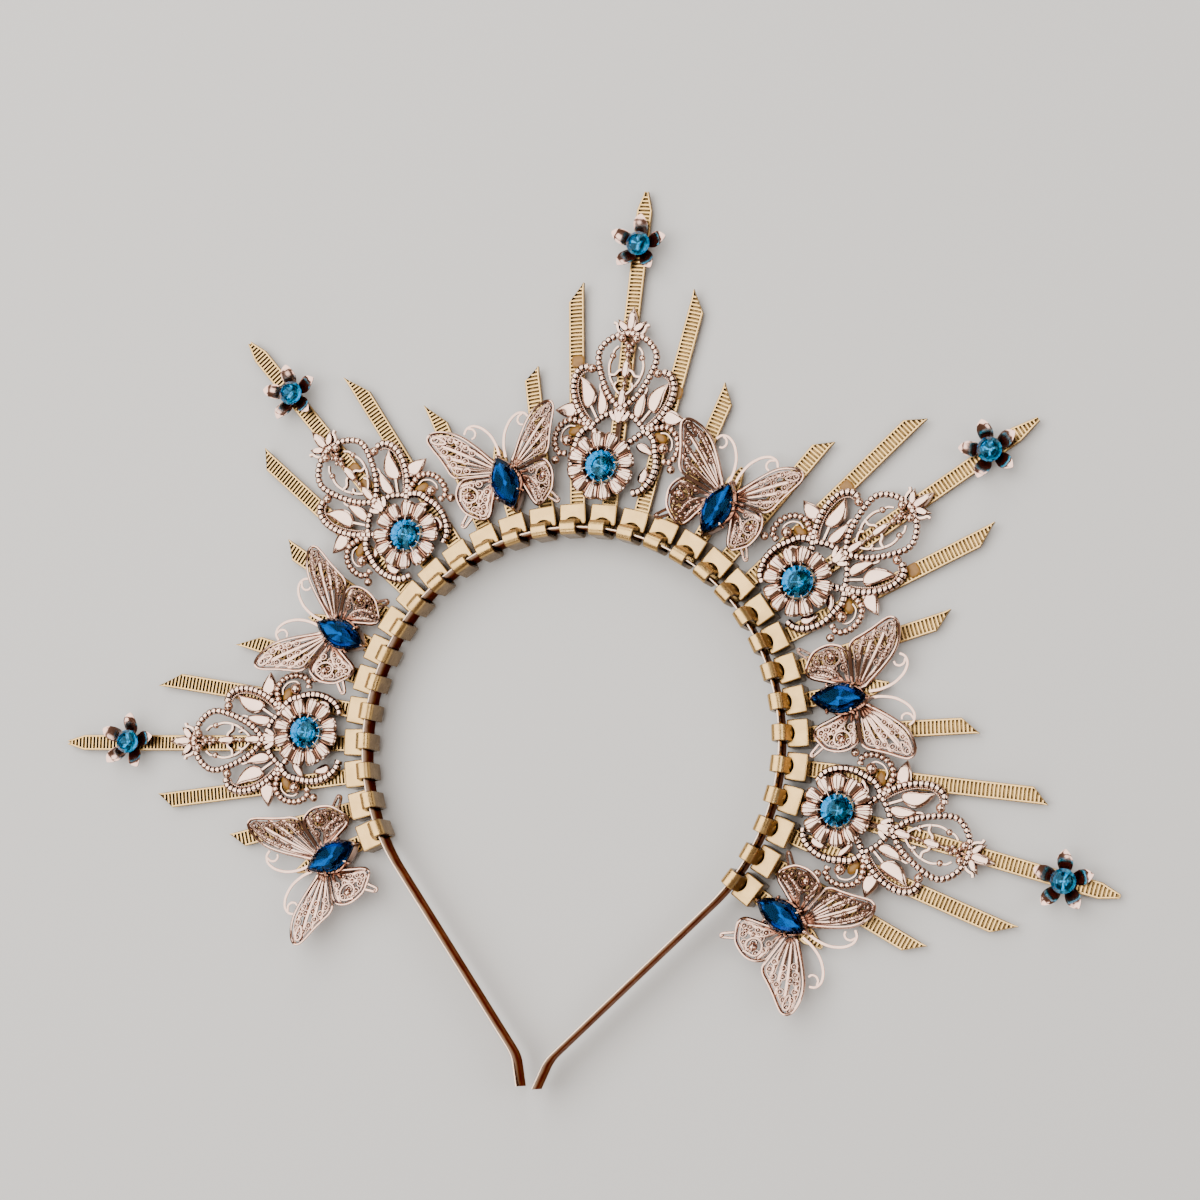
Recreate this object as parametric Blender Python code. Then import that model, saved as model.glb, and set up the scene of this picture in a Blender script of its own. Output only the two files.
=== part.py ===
"""Halo crown: gold-painted cable ties fanned round a flat hair band.

The crown lies on its back on the surface: +Z is its front, +Y its top and +X its right-hand side
as it is looked at. Every fan of five ties carries a pierced plate with a flower, and a butterfly
sits between two fans. All lengths are in metres, so a value in millimetres is multiplied by MM.
"""
import math

import bmesh
import bpy
from mathutils import Matrix, Vector

MM = 0.001
CLEARANCE = 0.3 * MM
WELD = 0.001 * MM
SMOOTH_ANGLE = 35.0
FLAT_ANGLE = 0.3
MITRE_LIMIT = 0.5

# Hair band: a thin strip on edge, round over the head, with two straight legs below
HOOP_RADIUS = 60 * MM
HOOP_HALF_ARC = 131.0
SHORTEST_FACET = 1.0
BAND_WIDTH = 8 * MM
BAND_THICKNESS = 0.5 * MM
KINK_HALF_GAP = 4.8 * MM
END_HALF_GAP = 2.3 * MM
END_LENGTH = 8.5 * MM
LEG_SKEW = 2.1 * MM

# Cable ties: the loop goes round the band, and the tail runs out through the head as a spike
TIE_COUNT = 31
TIE_PITCH = 8.03
STRAP_WIDTH = 4.5 * MM
STRAP_THICKNESS = 1.2 * MM
HEAD_WIDTH = 7.6 * MM
HEAD_LENGTH = 7.2 * MM
HEAD_HEIGHT = 6 * MM
HEAD_STANDOFF = 1.2 * MM
SLOT_LEVEL = 2.1 * MM
LOOP_BEND = 1.5 * MM
LOOP_CLEARANCE = 0.4 * MM
TIP_FLAT = 1.2 * MM

# How far each kind of spike reaches beyond the band
REACH = {"long": 96 * MM, "mid": 70.5 * MM, "short": 49.3 * MM, "stub": 29.6 * MM}

# Pierced plates and their flowers; each soldered layer is a step higher than the last
PLATE_LENGTH = 43.5 * MM
PLATE_HALF_WIDTH = 19 * MM
STRAND_RADIUS = 0.75 * MM
STEM_RADIUS = 0.5 * MM
LEAF_THICKNESS = 1.1 * MM
LEAF_LEVEL = 0.1 * MM
LEAF_FULLEST = 0.42
SOLDER_STEP = 0.04 * MM
PEARL_RADIUS = 1.3 * MM
PEARL_SIDES = 6
FLOWER_RADIUS = 9.3 * MM
FLOWER_HEIGHT = 5 * MM
FLOWER_BASE = 0.6 * MM
LOBES = 12
LOBE_DEPTH = 0.045
CUP_RIM = 0.58
CUP_FLOOR = 0.15
ROUND_STONE_RADIUS = 4.4 * MM
STONE_FACETS = 12

# Cut stones: table and crown height as shares of the radius, girdle as a share of the height
TABLE = 0.56
GIRDLE = 0.08
CROWN_HEIGHT = 0.42

# Turned outlines, (radius, height) as shares: the back first, then over the rim
PEARL_PROFILE = ((0.0, 0.0), (1.0, 0.6), (1.0, 1.2), (0.0, 1.8))
FLOWER_PROFILE = ((0.0, 0.0), (0.62, 0.0), (1.0, 0.6), (0.78, 1.0))
SMALL_FLOWER_PROFILE = ((0.0, 0.0), (0.45, 0.08), (1.0, 0.85), (0.66, 0.52))

# Butterflies
WING_LENGTH = 19.6 * MM
WING_SPAN = 20 * MM
WING_RIB = 0.8 * MM
WING_THICKNESS = 1.1 * MM
WING_LEVEL = 0.1 * MM
WING_BEND = 20.0
CELL_START = 0.2
CELL_END = 0.97
ANTENNA_WIRE = 0.45 * MM
ANTENNA_LEVEL = 0.7 * MM
SETTING_THICKNESS = 2.6 * MM
SETTING_RIM = 0.5 * MM
SETTING_STEPS = 10
NAVETTE_LENGTH = 16 * MM
NAVETTE_WIDTH = 8 * MM
NAVETTE_HEIGHT = 3.2 * MM
NAVETTE_PAVILION = 0.4

# Small flowers: each petal's notch is a share of the radius deep and of the height low
SMALL_FLOWER_RADIUS = 8.3 * MM
SMALL_FLOWER_HEIGHT = 4.2 * MM
SMALL_FLOWER_SETBACK = 17.5 * MM
SMALL_STONE_RADIUS = 3.5 * MM
SMALL_GIRDLE = 0.45
PETALS = 5
NOTCH_DEPTH = 0.36
NOTCH_DROP = 0.12

# How far from the hoop's centre the heads end and each kind of ornament sits
HEAD_FACE = HOOP_RADIUS + HEAD_STANDOFF + HEAD_HEIGHT
FLOWER_SEAT = HEAD_FACE + CLEARANCE + FLOWER_RADIUS * (1 + LOBE_DEPTH)
BUTTERFLY_SEAT = HEAD_FACE + CLEARANCE + NAVETTE_LENGTH / 2 + SETTING_RIM
SMALL_FLOWER_SEAT = HOOP_RADIUS + REACH["long"] - SMALL_FLOWER_SETBACK

# Levels above the surface
STRAP_FACE = SLOT_LEVEL + STRAP_THICKNESS / 2
ORNAMENT_LEVEL = STRAP_FACE + CLEARANCE
BEND_INSET = math.sqrt((LOOP_BEND - STRAP_THICKNESS / 2 - LOOP_CLEARANCE) ** 2
                       - (BAND_THICKNESS / 2) ** 2)
BAND_BACK = SLOT_LEVEL + LOOP_BEND - BEND_INSET

# number: kind, share of its kind's reach, lean clockwise in degrees, side of the point (+1 is
# clockwise, 0 is a natural tip), run of the slanting cut as a share of the strap's width
TIES = {
    1: ("stub", 1.00, 0.0, 0, 1.0), 2: ("short", 0.94, 1.1, 1, 0.9),
    3: ("mid", 0.95, 0.3, 1, 0.9), 4: ("long", 1.00, -0.4, 0, 1.2),
    5: ("mid", 0.975, 0.3, -1, 1.45), 6: ("short", 0.97, 0.5, -1, 1.55),
    7: ("stub", 1.00, 0.0, 0, 1.0), 8: ("short", 0.95, 0.0, 1, 1.0),
    9: ("mid", 0.995, -0.1, 1, 1.05), 10: ("long", 1.01, -0.1, 0, 1.2),
    11: ("mid", 0.985, -0.8, -1, 1.85), 12: ("short", 0.99, -0.2, -1, 1.7),
    13: ("stub", 0.98, 0.0, 0, 1.0), 14: ("short", 0.985, 0.9, 1, 0.8),
    15: ("mid", 1.01, -0.9, 1, 1.2), 16: ("long", 1.015, -1.5, 0, 1.2),
    17: ("mid", 1.015, -0.7, -1, 1.35), 18: ("short", 0.99, 0.1, -1, 1.15),
    19: ("stub", 1.00, 0.0, 0, 1.0), 20: ("short", 1.015, 1.4, 1, 1.0),
    21: ("mid", 1.02, -0.7, 1, 1.1), 22: ("long", 0.99, 0.6, 0, 1.6),
    23: ("mid", 1.005, 0.8, -1, 1.45), 24: ("short", 1.03, 1.3, -1, 1.2),
    25: ("stub", 1.00, 0.0, 0, 1.0), 26: ("short", 1.07, -0.2, 1, 1.05),
    27: ("mid", 1.02, 1.0, 1, 0.95), 28: ("long", 0.99, 2.2, 0, 1.2),
    29: ("mid", 1.025, 1.25, -1, 1.45), 30: ("short", 1.065, -0.2, -1, 1.2),
    31: ("stub", 0.98, 0.0, 0, 1.0),
}

# tie that carries it: outward and sideways shifts of the plate's flower, clockwise turn of the
# plate, and outward and sideways shifts of the openwork from its flower; shifts are shares of
# the flower's radius
PLATES = {
    4: (0.24, 0.28, -1.9, -0.12, -0.15), 10: (0.13, 0.09, -3.0, -0.04, -0.06),
    16: (0.075, -0.33, -0.5, 0.18, 0.29), 22: (0.0, -0.015, 1.2, -0.035, 0.055),
    28: (0.0, -0.015, 3.7, 0.03, 0.075),
}

# tie that carries it: shifts outward and sideways as shares of the flower's radius, and the
# clockwise turn of its first petal
SMALL_FLOWERS = {4: (-0.35, -0.05, 25), 10: (-0.40, 0.06, 30), 16: (0.40, -0.24, 0),
                 22: (0.16, 0.08, 2), 28: (0.19, 0.41, 46)}

# tie that carries it: shifts outward and sideways as shares of the wings' length and span,
# clockwise turn, and clockwise turn of its stone
BUTTERFLIES = {
    1: (0.04, -0.055, -1.4, -3.0), 7: (0.03, -0.03, 1.0, 0.0), 13: (0.035, 0.055, 3.3, -7.0),
    19: (0.015, 0.045, -4.9, 3.0), 25: (0.02, 0.09, 2.3, 7.0), 31: (0.0, -0.01, 1.5, -7.0),
}

# Strands of a plate's right half, (sideways, outward) as shares of half width and length
PEAR_HALF = ((0.0, 0.845), (0.30, 0.80), (0.46, 0.66), (0.37, 0.50), (0.0, 0.35))
PLATE_STRANDS = {
    "side_loop": ((0.44, 0.635), (0.66, 0.635), (0.80, 0.53), (0.72, 0.38), (0.10, 0.05)),
    "spiral": ((0.56, 0.24), (0.75, 0.275), (0.93, 0.23), (0.97, 0.12), (0.87, 0.02)),
    "lower_arc": ((0.56, 0.29), (0.57, 0.14), (0.66, 0.02), (0.60, -0.10), (0.40, -0.175),
                  (0.06, -0.05)),
}
PLATE_STEMS = {
    "pearl_stem": ((0.58, 0.115), (0.75, 0.13)),
}
# base, tip and width of each leaf, all as shares of half width and length
PLATE_LEAVES = {
    "outer_leaf": ((0.66, 0.335), (1.0, 0.32), 0.22),
    "loop_leaf": ((0.40, 0.215), (0.765, 0.55), 0.20),
    "drop_leaf": ((0.12, 0.08), (0.37, 0.50), 0.15),
    "fleur_arm": ((-0.04, 0.845), (0.27, 0.91), 0.12),
}
CENTRE_LEAVES = {
    "fleur": ((0.0, 0.83), (0.0, 1.0), 0.17),
    "column": ((0.0, 0.345), (0.0, 0.85), 0.13),
    "neck": ((0.0, 0.37), (0.0, 0.10), 0.22),
}
PLATE_PEARLS = ((0.75, 0.13), (0.87, 0.01))

# Ribs of a butterfly's right wings, front to back: how far out each starts, and its tip's place
# outward and sideways, all as shares of wing length and span
WING_RIBS = (
    (0.26, (0.97, 0.63)), (0.19, (0.97, 0.91)), (0.12, (0.62, 0.86)), (0.05, (0.27, 0.74)),
    (-0.06, (-0.10, 0.77)), (-0.20, (-0.38, 0.52)),
)
WING_ROOT = 0.15
TAIL_TIP = (-0.41, 0.84)
ANTENNA = ((0.38, 0.01), (0.68, 0.12), (0.90, 0.34), (0.86, 0.51))


def material(name, colour, roughness, metallic):
    """Return a new Principled material."""
    made = bpy.data.materials.new(name)
    made.use_nodes = True
    shader = made.node_tree.nodes["Principled BSDF"]
    shader.inputs["Base Color"].default_value = (*colour, 1.0)
    shader.inputs["Roughness"].default_value = roughness
    shader.inputs["Metallic"].default_value = metallic
    return made


def link(name, data):
    """Return a new object in the crown's collection."""
    made = bpy.data.objects.new(name, data)
    crown.objects.link(made)
    return made


def baked_mesh(source):
    """Return the evaluated mesh of an object, welded, and remove the object."""
    graph = bpy.context.evaluated_depsgraph_get()
    mesh = bpy.data.meshes.new_from_object(source.evaluated_get(graph))
    shape = bmesh.new()
    shape.from_mesh(mesh)
    bmesh.ops.remove_doubles(shape, verts=shape.verts, dist=WELD)
    bmesh.ops.recalc_face_normals(shape, faces=shape.faces)
    shape.to_mesh(mesh)
    shape.free()
    mesh.transform(source.matrix_world)
    bpy.data.objects.remove(source)
    return mesh


def spline(curve, points, cyclic):
    """Add a polyline to a curve."""
    line = curve.splines.new("POLY")
    line.points.add(len(points) - 1)
    for target, point in zip(line.points, points):
        target.co = (*Vector(point).to_3d(), 1.0)
    line.use_cyclic_u = cyclic


def flat_mesh(outlines, thickness, level=0.0):
    """Return a flat solid, its underside at this level; outlines after the first are holes."""
    curve = bpy.data.curves.new("outline", "CURVE")
    curve.dimensions = "2D"
    curve.fill_mode = "BOTH"
    curve.extrude = thickness / 2
    for outline in outlines:
        spline(curve, outline, True)
    mesh = baked_mesh(link("outline", curve))
    mesh.transform(Matrix.Translation((0, 0, level + thickness / 2)))
    return mesh


def wire_mesh(points, radius, closed=False):
    """Return a four-sided wire through these points."""
    curve = bpy.data.curves.new("wire", "CURVE")
    curve.dimensions = "3D"
    curve.bevel_depth = radius
    curve.bevel_resolution = 0
    curve.use_fill_caps = True
    spline(curve, points, closed)
    return baked_mesh(link("wire", curve))


def turned_mesh(profile, steps):
    """Return the solid that a profile of (radius, level) points makes when it is turned."""
    shape = bmesh.new()
    verts = [shape.verts.new((radius, 0, level)) for radius, level in profile]
    edges = [shape.edges.new(pair) for pair in zip(verts, verts[1:])]
    bmesh.ops.spin(shape, geom=verts + edges, axis=(0, 0, 1), cent=(0, 0, 0),
                   steps=steps, angle=math.tau, use_merge=True)
    bmesh.ops.remove_doubles(shape, verts=shape.verts, dist=WELD)
    bmesh.ops.recalc_face_normals(shape, faces=shape.faces)
    mesh = bpy.data.meshes.new("turned")
    shape.to_mesh(mesh)
    shape.free()
    return mesh


def box_mesh(low, high):
    """Return a box between two corners."""
    shape = bmesh.new()
    bmesh.ops.create_cube(shape, size=1.0)
    size = Vector(high) - Vector(low)
    bmesh.ops.scale(shape, vec=size, verts=shape.verts)
    bmesh.ops.translate(shape, vec=(Vector(high) + Vector(low)) / 2, verts=shape.verts)
    mesh = bpy.data.meshes.new("box")
    shape.to_mesh(mesh)
    shape.free()
    return mesh


def joined(meshes):
    """Return one mesh that holds all of these bodies."""
    shape = bmesh.new()
    for mesh in meshes:
        shape.from_mesh(mesh)
    mesh = bpy.data.meshes.new("joined")
    shape.to_mesh(mesh)
    shape.free()
    return mesh


def fused(base, addition):
    """Return the union of two meshes, either of which may hold bodies that cross."""
    body = link("body", base)
    extra = link("extra", addition)
    union = body.modifiers.new("Union", "BOOLEAN")
    union.operation = "UNION"
    union.object = extra
    union.use_self = True
    mesh = baked_mesh(body)
    bpy.data.objects.remove(extra)
    return mesh


def simplified(mesh):
    """Return a mesh whose faces that lie in one plane are merged and then cut into triangles."""
    shape = bmesh.new()
    shape.from_mesh(mesh)
    bmesh.ops.dissolve_limit(shape, angle_limit=math.radians(FLAT_ANGLE), verts=shape.verts,
                             edges=shape.edges)
    bmesh.ops.triangulate(shape, faces=shape.faces)
    shape.to_mesh(mesh)
    shape.free()
    return mesh


def moved(mesh, matrix):
    """Return a moved copy of a mesh."""
    copy = mesh.copy()
    copy.transform(matrix)
    return copy


def mirrored(mesh):
    """Return the mirror image of a mesh in its YZ plane."""
    copy = moved(mesh, Matrix.Scale(-1, 4, (1, 0, 0)))
    copy.flip_normals()
    return copy


def ribbon(path, thickness):
    """Return the closed outline of a strip of even thickness along a flat path."""
    left, right = [], []
    for index, point in enumerate(path):
        before = (point - path[index - 1]).normalized() if index else None
        after = (path[index + 1] - point).normalized() if index + 1 < len(path) else None
        heading = ((before or after) + (after or before)).normalized()
        side = Vector((-heading.y, heading.x))
        reach = thickness / 2 / max(MITRE_LIMIT, heading.dot(after or before))
        left.append(point + side * reach)
        right.append(point - side * reach)
    return left + right[::-1]


def on_circle(radius, degrees):
    """Return a flat point, with zero degrees at +X."""
    angle = math.radians(degrees)
    return Vector((radius * math.cos(angle), radius * math.sin(angle)))


def tie_angle(number):
    """Return a tie's direction; ties are numbered clockwise and the middle one points up."""
    return 90 + ((TIE_COUNT + 1) / 2 - number) * TIE_PITCH


def seat_matrix(number, outward, sideways=0.0, turn=0.0, level=0.0):
    """Return the frame of a piece on a tie: Y outward, X clockwise, turned clockwise."""
    spoke = Matrix.Rotation(math.radians(tie_angle(number) - 90), 4, "Z")
    place = Matrix.Translation((sideways, outward, level))
    return spoke @ place @ Matrix.Rotation(math.radians(-turn), 4, "Z")


def add_piece(name, mesh, look, matrix):
    """Add a finished piece to the crown."""
    piece = link(name, mesh)
    if not mesh.materials:
        mesh.materials.append(look)
        mesh.shade_smooth()
        mesh.set_sharp_from_angle(angle=math.radians(SMOOTH_ANGLE))
    piece.matrix_world = matrix
    piece.parent = root
    return piece


def hoop_path():
    """Return the band's middle line, from one end round the top to the other."""
    count = int(HOOP_HALF_ARC / TIE_PITCH)
    angles = [90 + HOOP_HALF_ARC]
    angles += [90 + (count + 0.5 - step) * TIE_PITCH for step in range(2 * count + 2)
               if abs(count + 0.5 - step) * TIE_PITCH < HOOP_HALF_ARC - SHORTEST_FACET]
    angles += [90 - HOOP_HALF_ARC]
    arc = [on_circle(HOOP_RADIUS, angle) for angle in angles]
    tangent = on_circle(1.0, -HOOP_HALF_ARC)
    kink_drop = (arc[-1].x - KINK_HALF_GAP) / abs(tangent.x)
    kink = arc[-1] + tangent * kink_drop
    run = math.sqrt(END_LENGTH ** 2 - (KINK_HALF_GAP - END_HALF_GAP) ** 2)
    right = [Vector((LEG_SKEW + KINK_HALF_GAP, kink.y)),
             Vector((LEG_SKEW + END_HALF_GAP, kink.y - run))]
    left = [Vector((2 * LEG_SKEW - point.x, point.y)) for point in right]
    return left[::-1] + arc + right


def tie_path(reach):
    """Return the strap's middle line as (outward from the band, level) points."""
    back = SLOT_LEVEL + LOOP_BEND
    front = BAND_BACK + BAND_WIDTH - BEND_INSET
    path = [Vector((HEAD_STANDOFF + STRAP_THICKNESS, HEAD_LENGTH - STRAP_THICKNESS))]
    path += [Vector((0, front)) + on_circle(LOOP_BEND, angle) for angle in (15, 60, 120, 180)]
    path += [Vector((0, back)) + on_circle(LOOP_BEND, angle) for angle in (180, 225, 270)]
    path.append(Vector((reach, SLOT_LEVEL)))
    return path


def trimmed(mesh, corner, tip):
    """Cut a strap lying along Y with an upright plane through two flat points."""
    along = (tip - corner).normalized()
    outward = Vector((-along.y, along.x, 0))
    if outward.y < 0:
        outward.negate()
    shape = bmesh.new()
    shape.from_mesh(mesh)
    geometry = shape.verts[:] + shape.edges[:] + shape.faces[:]
    cut = bmesh.ops.bisect_plane(shape, geom=geometry, plane_co=tip.to_3d(), plane_no=outward,
                                 clear_outer=True)
    edges = [item for item in cut["geom_cut"] if isinstance(item, bmesh.types.BMEdge)]
    bmesh.ops.edgeloop_fill(shape, edges=edges)
    bmesh.ops.recalc_face_normals(shape, faces=shape.faces)
    shape.to_mesh(mesh)
    shape.free()


def tie_mesh(number):
    """Return one cable tie in its own frame: Y outward from the band, X clockwise."""
    kind, share, _lean, side, run_share = TIES[number]
    reach = REACH[kind] * share
    run = STRAP_WIDTH * run_share
    strap = flat_mesh([ribbon(tie_path(reach), STRAP_THICKNESS)], STRAP_WIDTH, -STRAP_WIDTH / 2)
    strap.transform(Matrix(((0, 0, 1, 0), (1, 0, 0, 0), (0, 1, 0, 0), (0, 0, 0, 1))))
    half = STRAP_WIDTH / 2
    if side:
        trimmed(strap, Vector((-side * half, reach - run)), Vector((side * half, reach)))
    else:
        for way in (-1, 1):
            trimmed(strap, Vector((way * half, reach - run)), Vector((way * TIP_FLAT / 2, reach)))
    head = box_mesh((-HEAD_WIDTH / 2, HEAD_STANDOFF, 0),
                    (HEAD_WIDTH / 2, HEAD_STANDOFF + HEAD_HEIGHT, HEAD_LENGTH))
    return simplified(fused(strap, head))


def plate_point(shares):
    """Return a plate's flat point from its shares of half width and length."""
    return Vector((shares[0] * PLATE_HALF_WIDTH, shares[1] * PLATE_LENGTH))


def leaf_mesh(base_shares, tip_shares, width_share, lift):
    """Return a flat pointed leaf of a plate, fullest near its base."""
    base = plate_point(base_shares)
    axis = plate_point(tip_shares) - base
    side = Vector((-axis.y, axis.x)).normalized() * (width_share * PLATE_HALF_WIDTH / 2)
    middle = base + axis * LEAF_FULLEST
    outline = [base, middle + side, base + axis, middle - side]
    return flat_mesh([outline], LEAF_THICKNESS, LEAF_LEVEL + lift * SOLDER_STEP)


def plate_wire(points, radius, lift, closed=False):
    """Return a wire of a plate through points given as shares."""
    middle = STRAND_RADIUS + lift * SOLDER_STEP
    return wire_mesh([plate_point(point).to_3d() + Vector((0, 0, middle)) for point in points],
                     radius, closed)


def pierced_plate():
    """Return the bodies of a plate without its flower; they cross and are fused later."""
    strands = [(points, STRAND_RADIUS) for points in PLATE_STRANDS.values()]
    strands += [(points, STEM_RADIUS) for points in PLATE_STEMS.values()]
    half = [plate_wire(points, radius, lift) for lift, (points, radius) in enumerate(strands)]
    half += [leaf_mesh(*leaf, lift) for lift, leaf in enumerate(PLATE_LEAVES.values())]
    profile = [(PEARL_RADIUS * across, PEARL_RADIUS * up) for across, up in PEARL_PROFILE]
    for shares in PLATE_PEARLS:
        place = Matrix.Translation(plate_point(shares).to_3d())
        half.append(moved(turned_mesh(profile, PEARL_SIDES), place))
    pear = PEAR_HALF + tuple((-across, along) for across, along in PEAR_HALF[-2:0:-1])
    whole = half + [mirrored(mesh) for mesh in half]
    whole.append(plate_wire(pear, STRAND_RADIUS, len(strands), True))
    lowest = len(PLATE_LEAVES)
    whole += [leaf_mesh(*leaf, lift) for lift, leaf in enumerate(CENTRE_LEAVES.values(), lowest)]
    return joined(whole)


def flower_mesh():
    """Return the big flower: a lobed dish with a cup for its stone, underside at zero."""
    cup = ROUND_STONE_RADIUS + CLEARANCE
    profile = [(FLOWER_RADIUS * across, FLOWER_HEIGHT * up) for across, up in FLOWER_PROFILE]
    profile += [(cup, FLOWER_HEIGHT * CUP_RIM), (0, FLOWER_HEIGHT * CUP_FLOOR)]
    mesh = turned_mesh(profile, 2 * LOBES)
    for vert in mesh.vertices:
        if vert.co.xy.length > cup + WELD:
            wave = math.cos(LOBES * math.atan2(vert.co.y, vert.co.x))
            vert.co.xy *= 1 + LOBE_DEPTH * wave
    return mesh


def round_stone_mesh():
    """Return a round stone that sits in the big flower's cup, in the flower's frame."""
    radius = ROUND_STONE_RADIUS
    seat = FLOWER_HEIGHT * CUP_FLOOR + CLEARANCE
    girdle = FLOWER_HEIGHT * CUP_RIM + CLEARANCE
    profile = [(0, seat), (radius, girdle), (radius, girdle + radius * GIRDLE),
               (radius * TABLE, girdle + radius * CROWN_HEIGHT), (0, girdle + radius * CROWN_HEIGHT)]
    return turned_mesh(profile, STONE_FACETS)


def small_flower_mesh():
    """Return a five-petalled flower with its stone, fused into one body; a petal is along Y."""
    radius = SMALL_FLOWER_RADIUS
    height = SMALL_FLOWER_HEIGHT
    stone = SMALL_STONE_RADIUS
    profile = [(radius * across, height * up) for across, up in SMALL_FLOWER_PROFILE]
    profile += [(stone, height * SMALL_GIRDLE), (stone * TABLE, height), (0, height)]
    mesh = turned_mesh(profile, 4 * PETALS)
    for vert in mesh.vertices:
        reach = vert.co.xy.length
        if reach > stone + WELD:
            angle = math.atan2(vert.co.y, vert.co.x)
            notch = (1 - math.cos(PETALS * (angle - math.pi / 2))) / 2 * reach / radius
            vert.co.xy *= 1 - NOTCH_DEPTH * notch
            vert.co.z -= NOTCH_DROP * height * notch
    return mesh


def wing_point(outward, sideways):
    """Return a wing's flat point from its shares, measured from the wing's root."""
    return Vector(((sideways - WING_ROOT) * WING_SPAN, outward * WING_LENGTH))


def wing_mesh():
    """Return a butterfly's right wings: a thin sheet pierced between its ribs, raised outward."""
    ribs = [(wing_point(start, WING_ROOT), wing_point(*tip)) for start, tip in WING_RIBS]
    tips = [tip for start, tip in ribs]
    lobe = (tips[-2] + tips[-1]) / 2
    bulge = (tips[-2] - tips[-1]).normalized() * WING_RIB
    tail = [lobe + bulge, wing_point(*TAIL_TIP), lobe - bulge]
    outline = [ribs[0][0]] + tips[:-1] + tail + [tips[-1], ribs[-1][0]]
    cells = []
    for front, back in zip(ribs, ribs[1:]):
        corners = [rib[0].lerp(rib[1], share) for rib, share in
                   ((front, CELL_START), (front, CELL_END), (back, CELL_END), (back, CELL_START))]
        middle = sum(corners, Vector((0, 0))) / 4
        cells.append([corner + (middle - corner).normalized() * WING_RIB for corner in corners])
    mesh = flat_mesh([outline] + cells, WING_THICKNESS, WING_LEVEL)
    raised = Matrix.Rotation(math.radians(-WING_BEND), 4, "Y")
    return moved(mesh, Matrix.Translation((WING_ROOT * WING_SPAN, 0, 0)) @ raised)


def navette_outline(length, width, steps):
    """Return the outline of a boat shape with its points along Y."""
    outline = []
    for step in range(steps):
        angle = math.tau * step / steps
        across = math.sin(angle) * abs(math.sin(angle))
        outline.append(Vector((width / 2 * across, length / 2 * math.cos(angle))))
    return outline


def butterfly_mesh(stone_turn):
    """Return a pierced butterfly with the flat setting of its stone."""
    antenna = [Vector((sideways * WING_SPAN, outward * WING_LENGTH, ANTENNA_LEVEL))
               for outward, sideways in ANTENNA]
    half = [wing_mesh(), wire_mesh(antenna, ANTENNA_WIRE)]
    whole = half + [mirrored(mesh) for mesh in half]
    outline = navette_outline(NAVETTE_LENGTH + 2 * SETTING_RIM, NAVETTE_WIDTH + 2 * SETTING_RIM,
                              SETTING_STEPS)
    setting = flat_mesh([outline], SETTING_THICKNESS)
    setting.transform(Matrix.Rotation(math.radians(-stone_turn), 4, "Z"))
    return simplified(fused(joined(whole), setting))


def navette_stone_mesh():
    """Return a boat-shaped cut stone, its underside just above the setting."""
    base = SETTING_THICKNESS + CLEARANCE
    girdle = base + NAVETTE_HEIGHT * NAVETTE_PAVILION
    top = base + NAVETTE_HEIGHT
    profile = [(0, base), (1, girdle), (1, girdle + NAVETTE_HEIGHT * GIRDLE), (TABLE, top), (0, top)]
    mesh = turned_mesh(profile, STONE_FACETS)
    for vert in mesh.vertices:
        radius = vert.co.xy.length
        if radius > WELD:
            across = vert.co.x / radius
            along = vert.co.y / radius
            vert.co.x = radius * NAVETTE_WIDTH / 2 * across * abs(across)
            vert.co.y = radius * NAVETTE_LENGTH / 2 * along
    return mesh


def build_hoop():
    """Add the hair band."""
    mesh = flat_mesh([ribbon(hoop_path(), BAND_THICKNESS)], BAND_WIDTH, BAND_BACK)
    add_piece("hoop_band", mesh, looks["band"], Matrix())


def build_ties():
    """Add every cable tie."""
    for number in range(1, TIE_COUNT + 1):
        lean = TIES[number][2]
        place = seat_matrix(number, HOOP_RADIUS, turn=lean)
        add_piece(f"cable_tie_{number:02d}", tie_mesh(number), looks["tie"], place)


def build_plates():
    """Add the pierced plates, each with its flower soldered on, and their stones."""
    openwork = pierced_plate()
    flower = flower_mesh()
    stone = round_stone_mesh()
    lift = Matrix.Translation((0, 0, FLOWER_BASE))
    for order, (number, (out, shift, turn, wire_out, wire_shift)) in enumerate(PLATES.items(), 1):
        place = seat_matrix(number, FLOWER_SEAT + out * FLOWER_RADIUS, shift * FLOWER_RADIUS,
                            turn, ORNAMENT_LEVEL)
        slip = Matrix.Translation((wire_shift * FLOWER_RADIUS, wire_out * FLOWER_RADIUS, 0))
        plate = fused(moved(openwork, slip), moved(flower, lift))
        add_piece(f"filigree_plate_{order}", plate, looks["filigree"], place)
        add_piece(f"round_stone_{order}", stone, looks["round stone"], place @ lift)


def build_small_flowers():
    """Add a small flower near the tip of each long spike."""
    mesh = small_flower_mesh()
    for order, (number, (out, shift, turn)) in enumerate(SMALL_FLOWERS.items(), 1):
        place = seat_matrix(number, SMALL_FLOWER_SEAT + out * SMALL_FLOWER_RADIUS,
                            shift * SMALL_FLOWER_RADIUS, turn, ORNAMENT_LEVEL)
        add_piece(f"small_flower_{order}", mesh, looks["flower"], place)


def build_butterflies():
    """Add the butterflies and their stones."""
    stone = navette_stone_mesh()
    for order, (number, (out, shift, turn, stone_turn)) in enumerate(BUTTERFLIES.items(), 1):
        place = seat_matrix(number, BUTTERFLY_SEAT + out * WING_LENGTH, shift * WING_SPAN, turn,
                            ORNAMENT_LEVEL)
        twist = Matrix.Rotation(math.radians(-stone_turn), 4, "Z")
        add_piece(f"butterfly_{order}", butterfly_mesh(stone_turn), looks["filigree"], place)
        add_piece(f"navette_stone_{order}", stone, looks["navette"], place @ twist)


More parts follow.
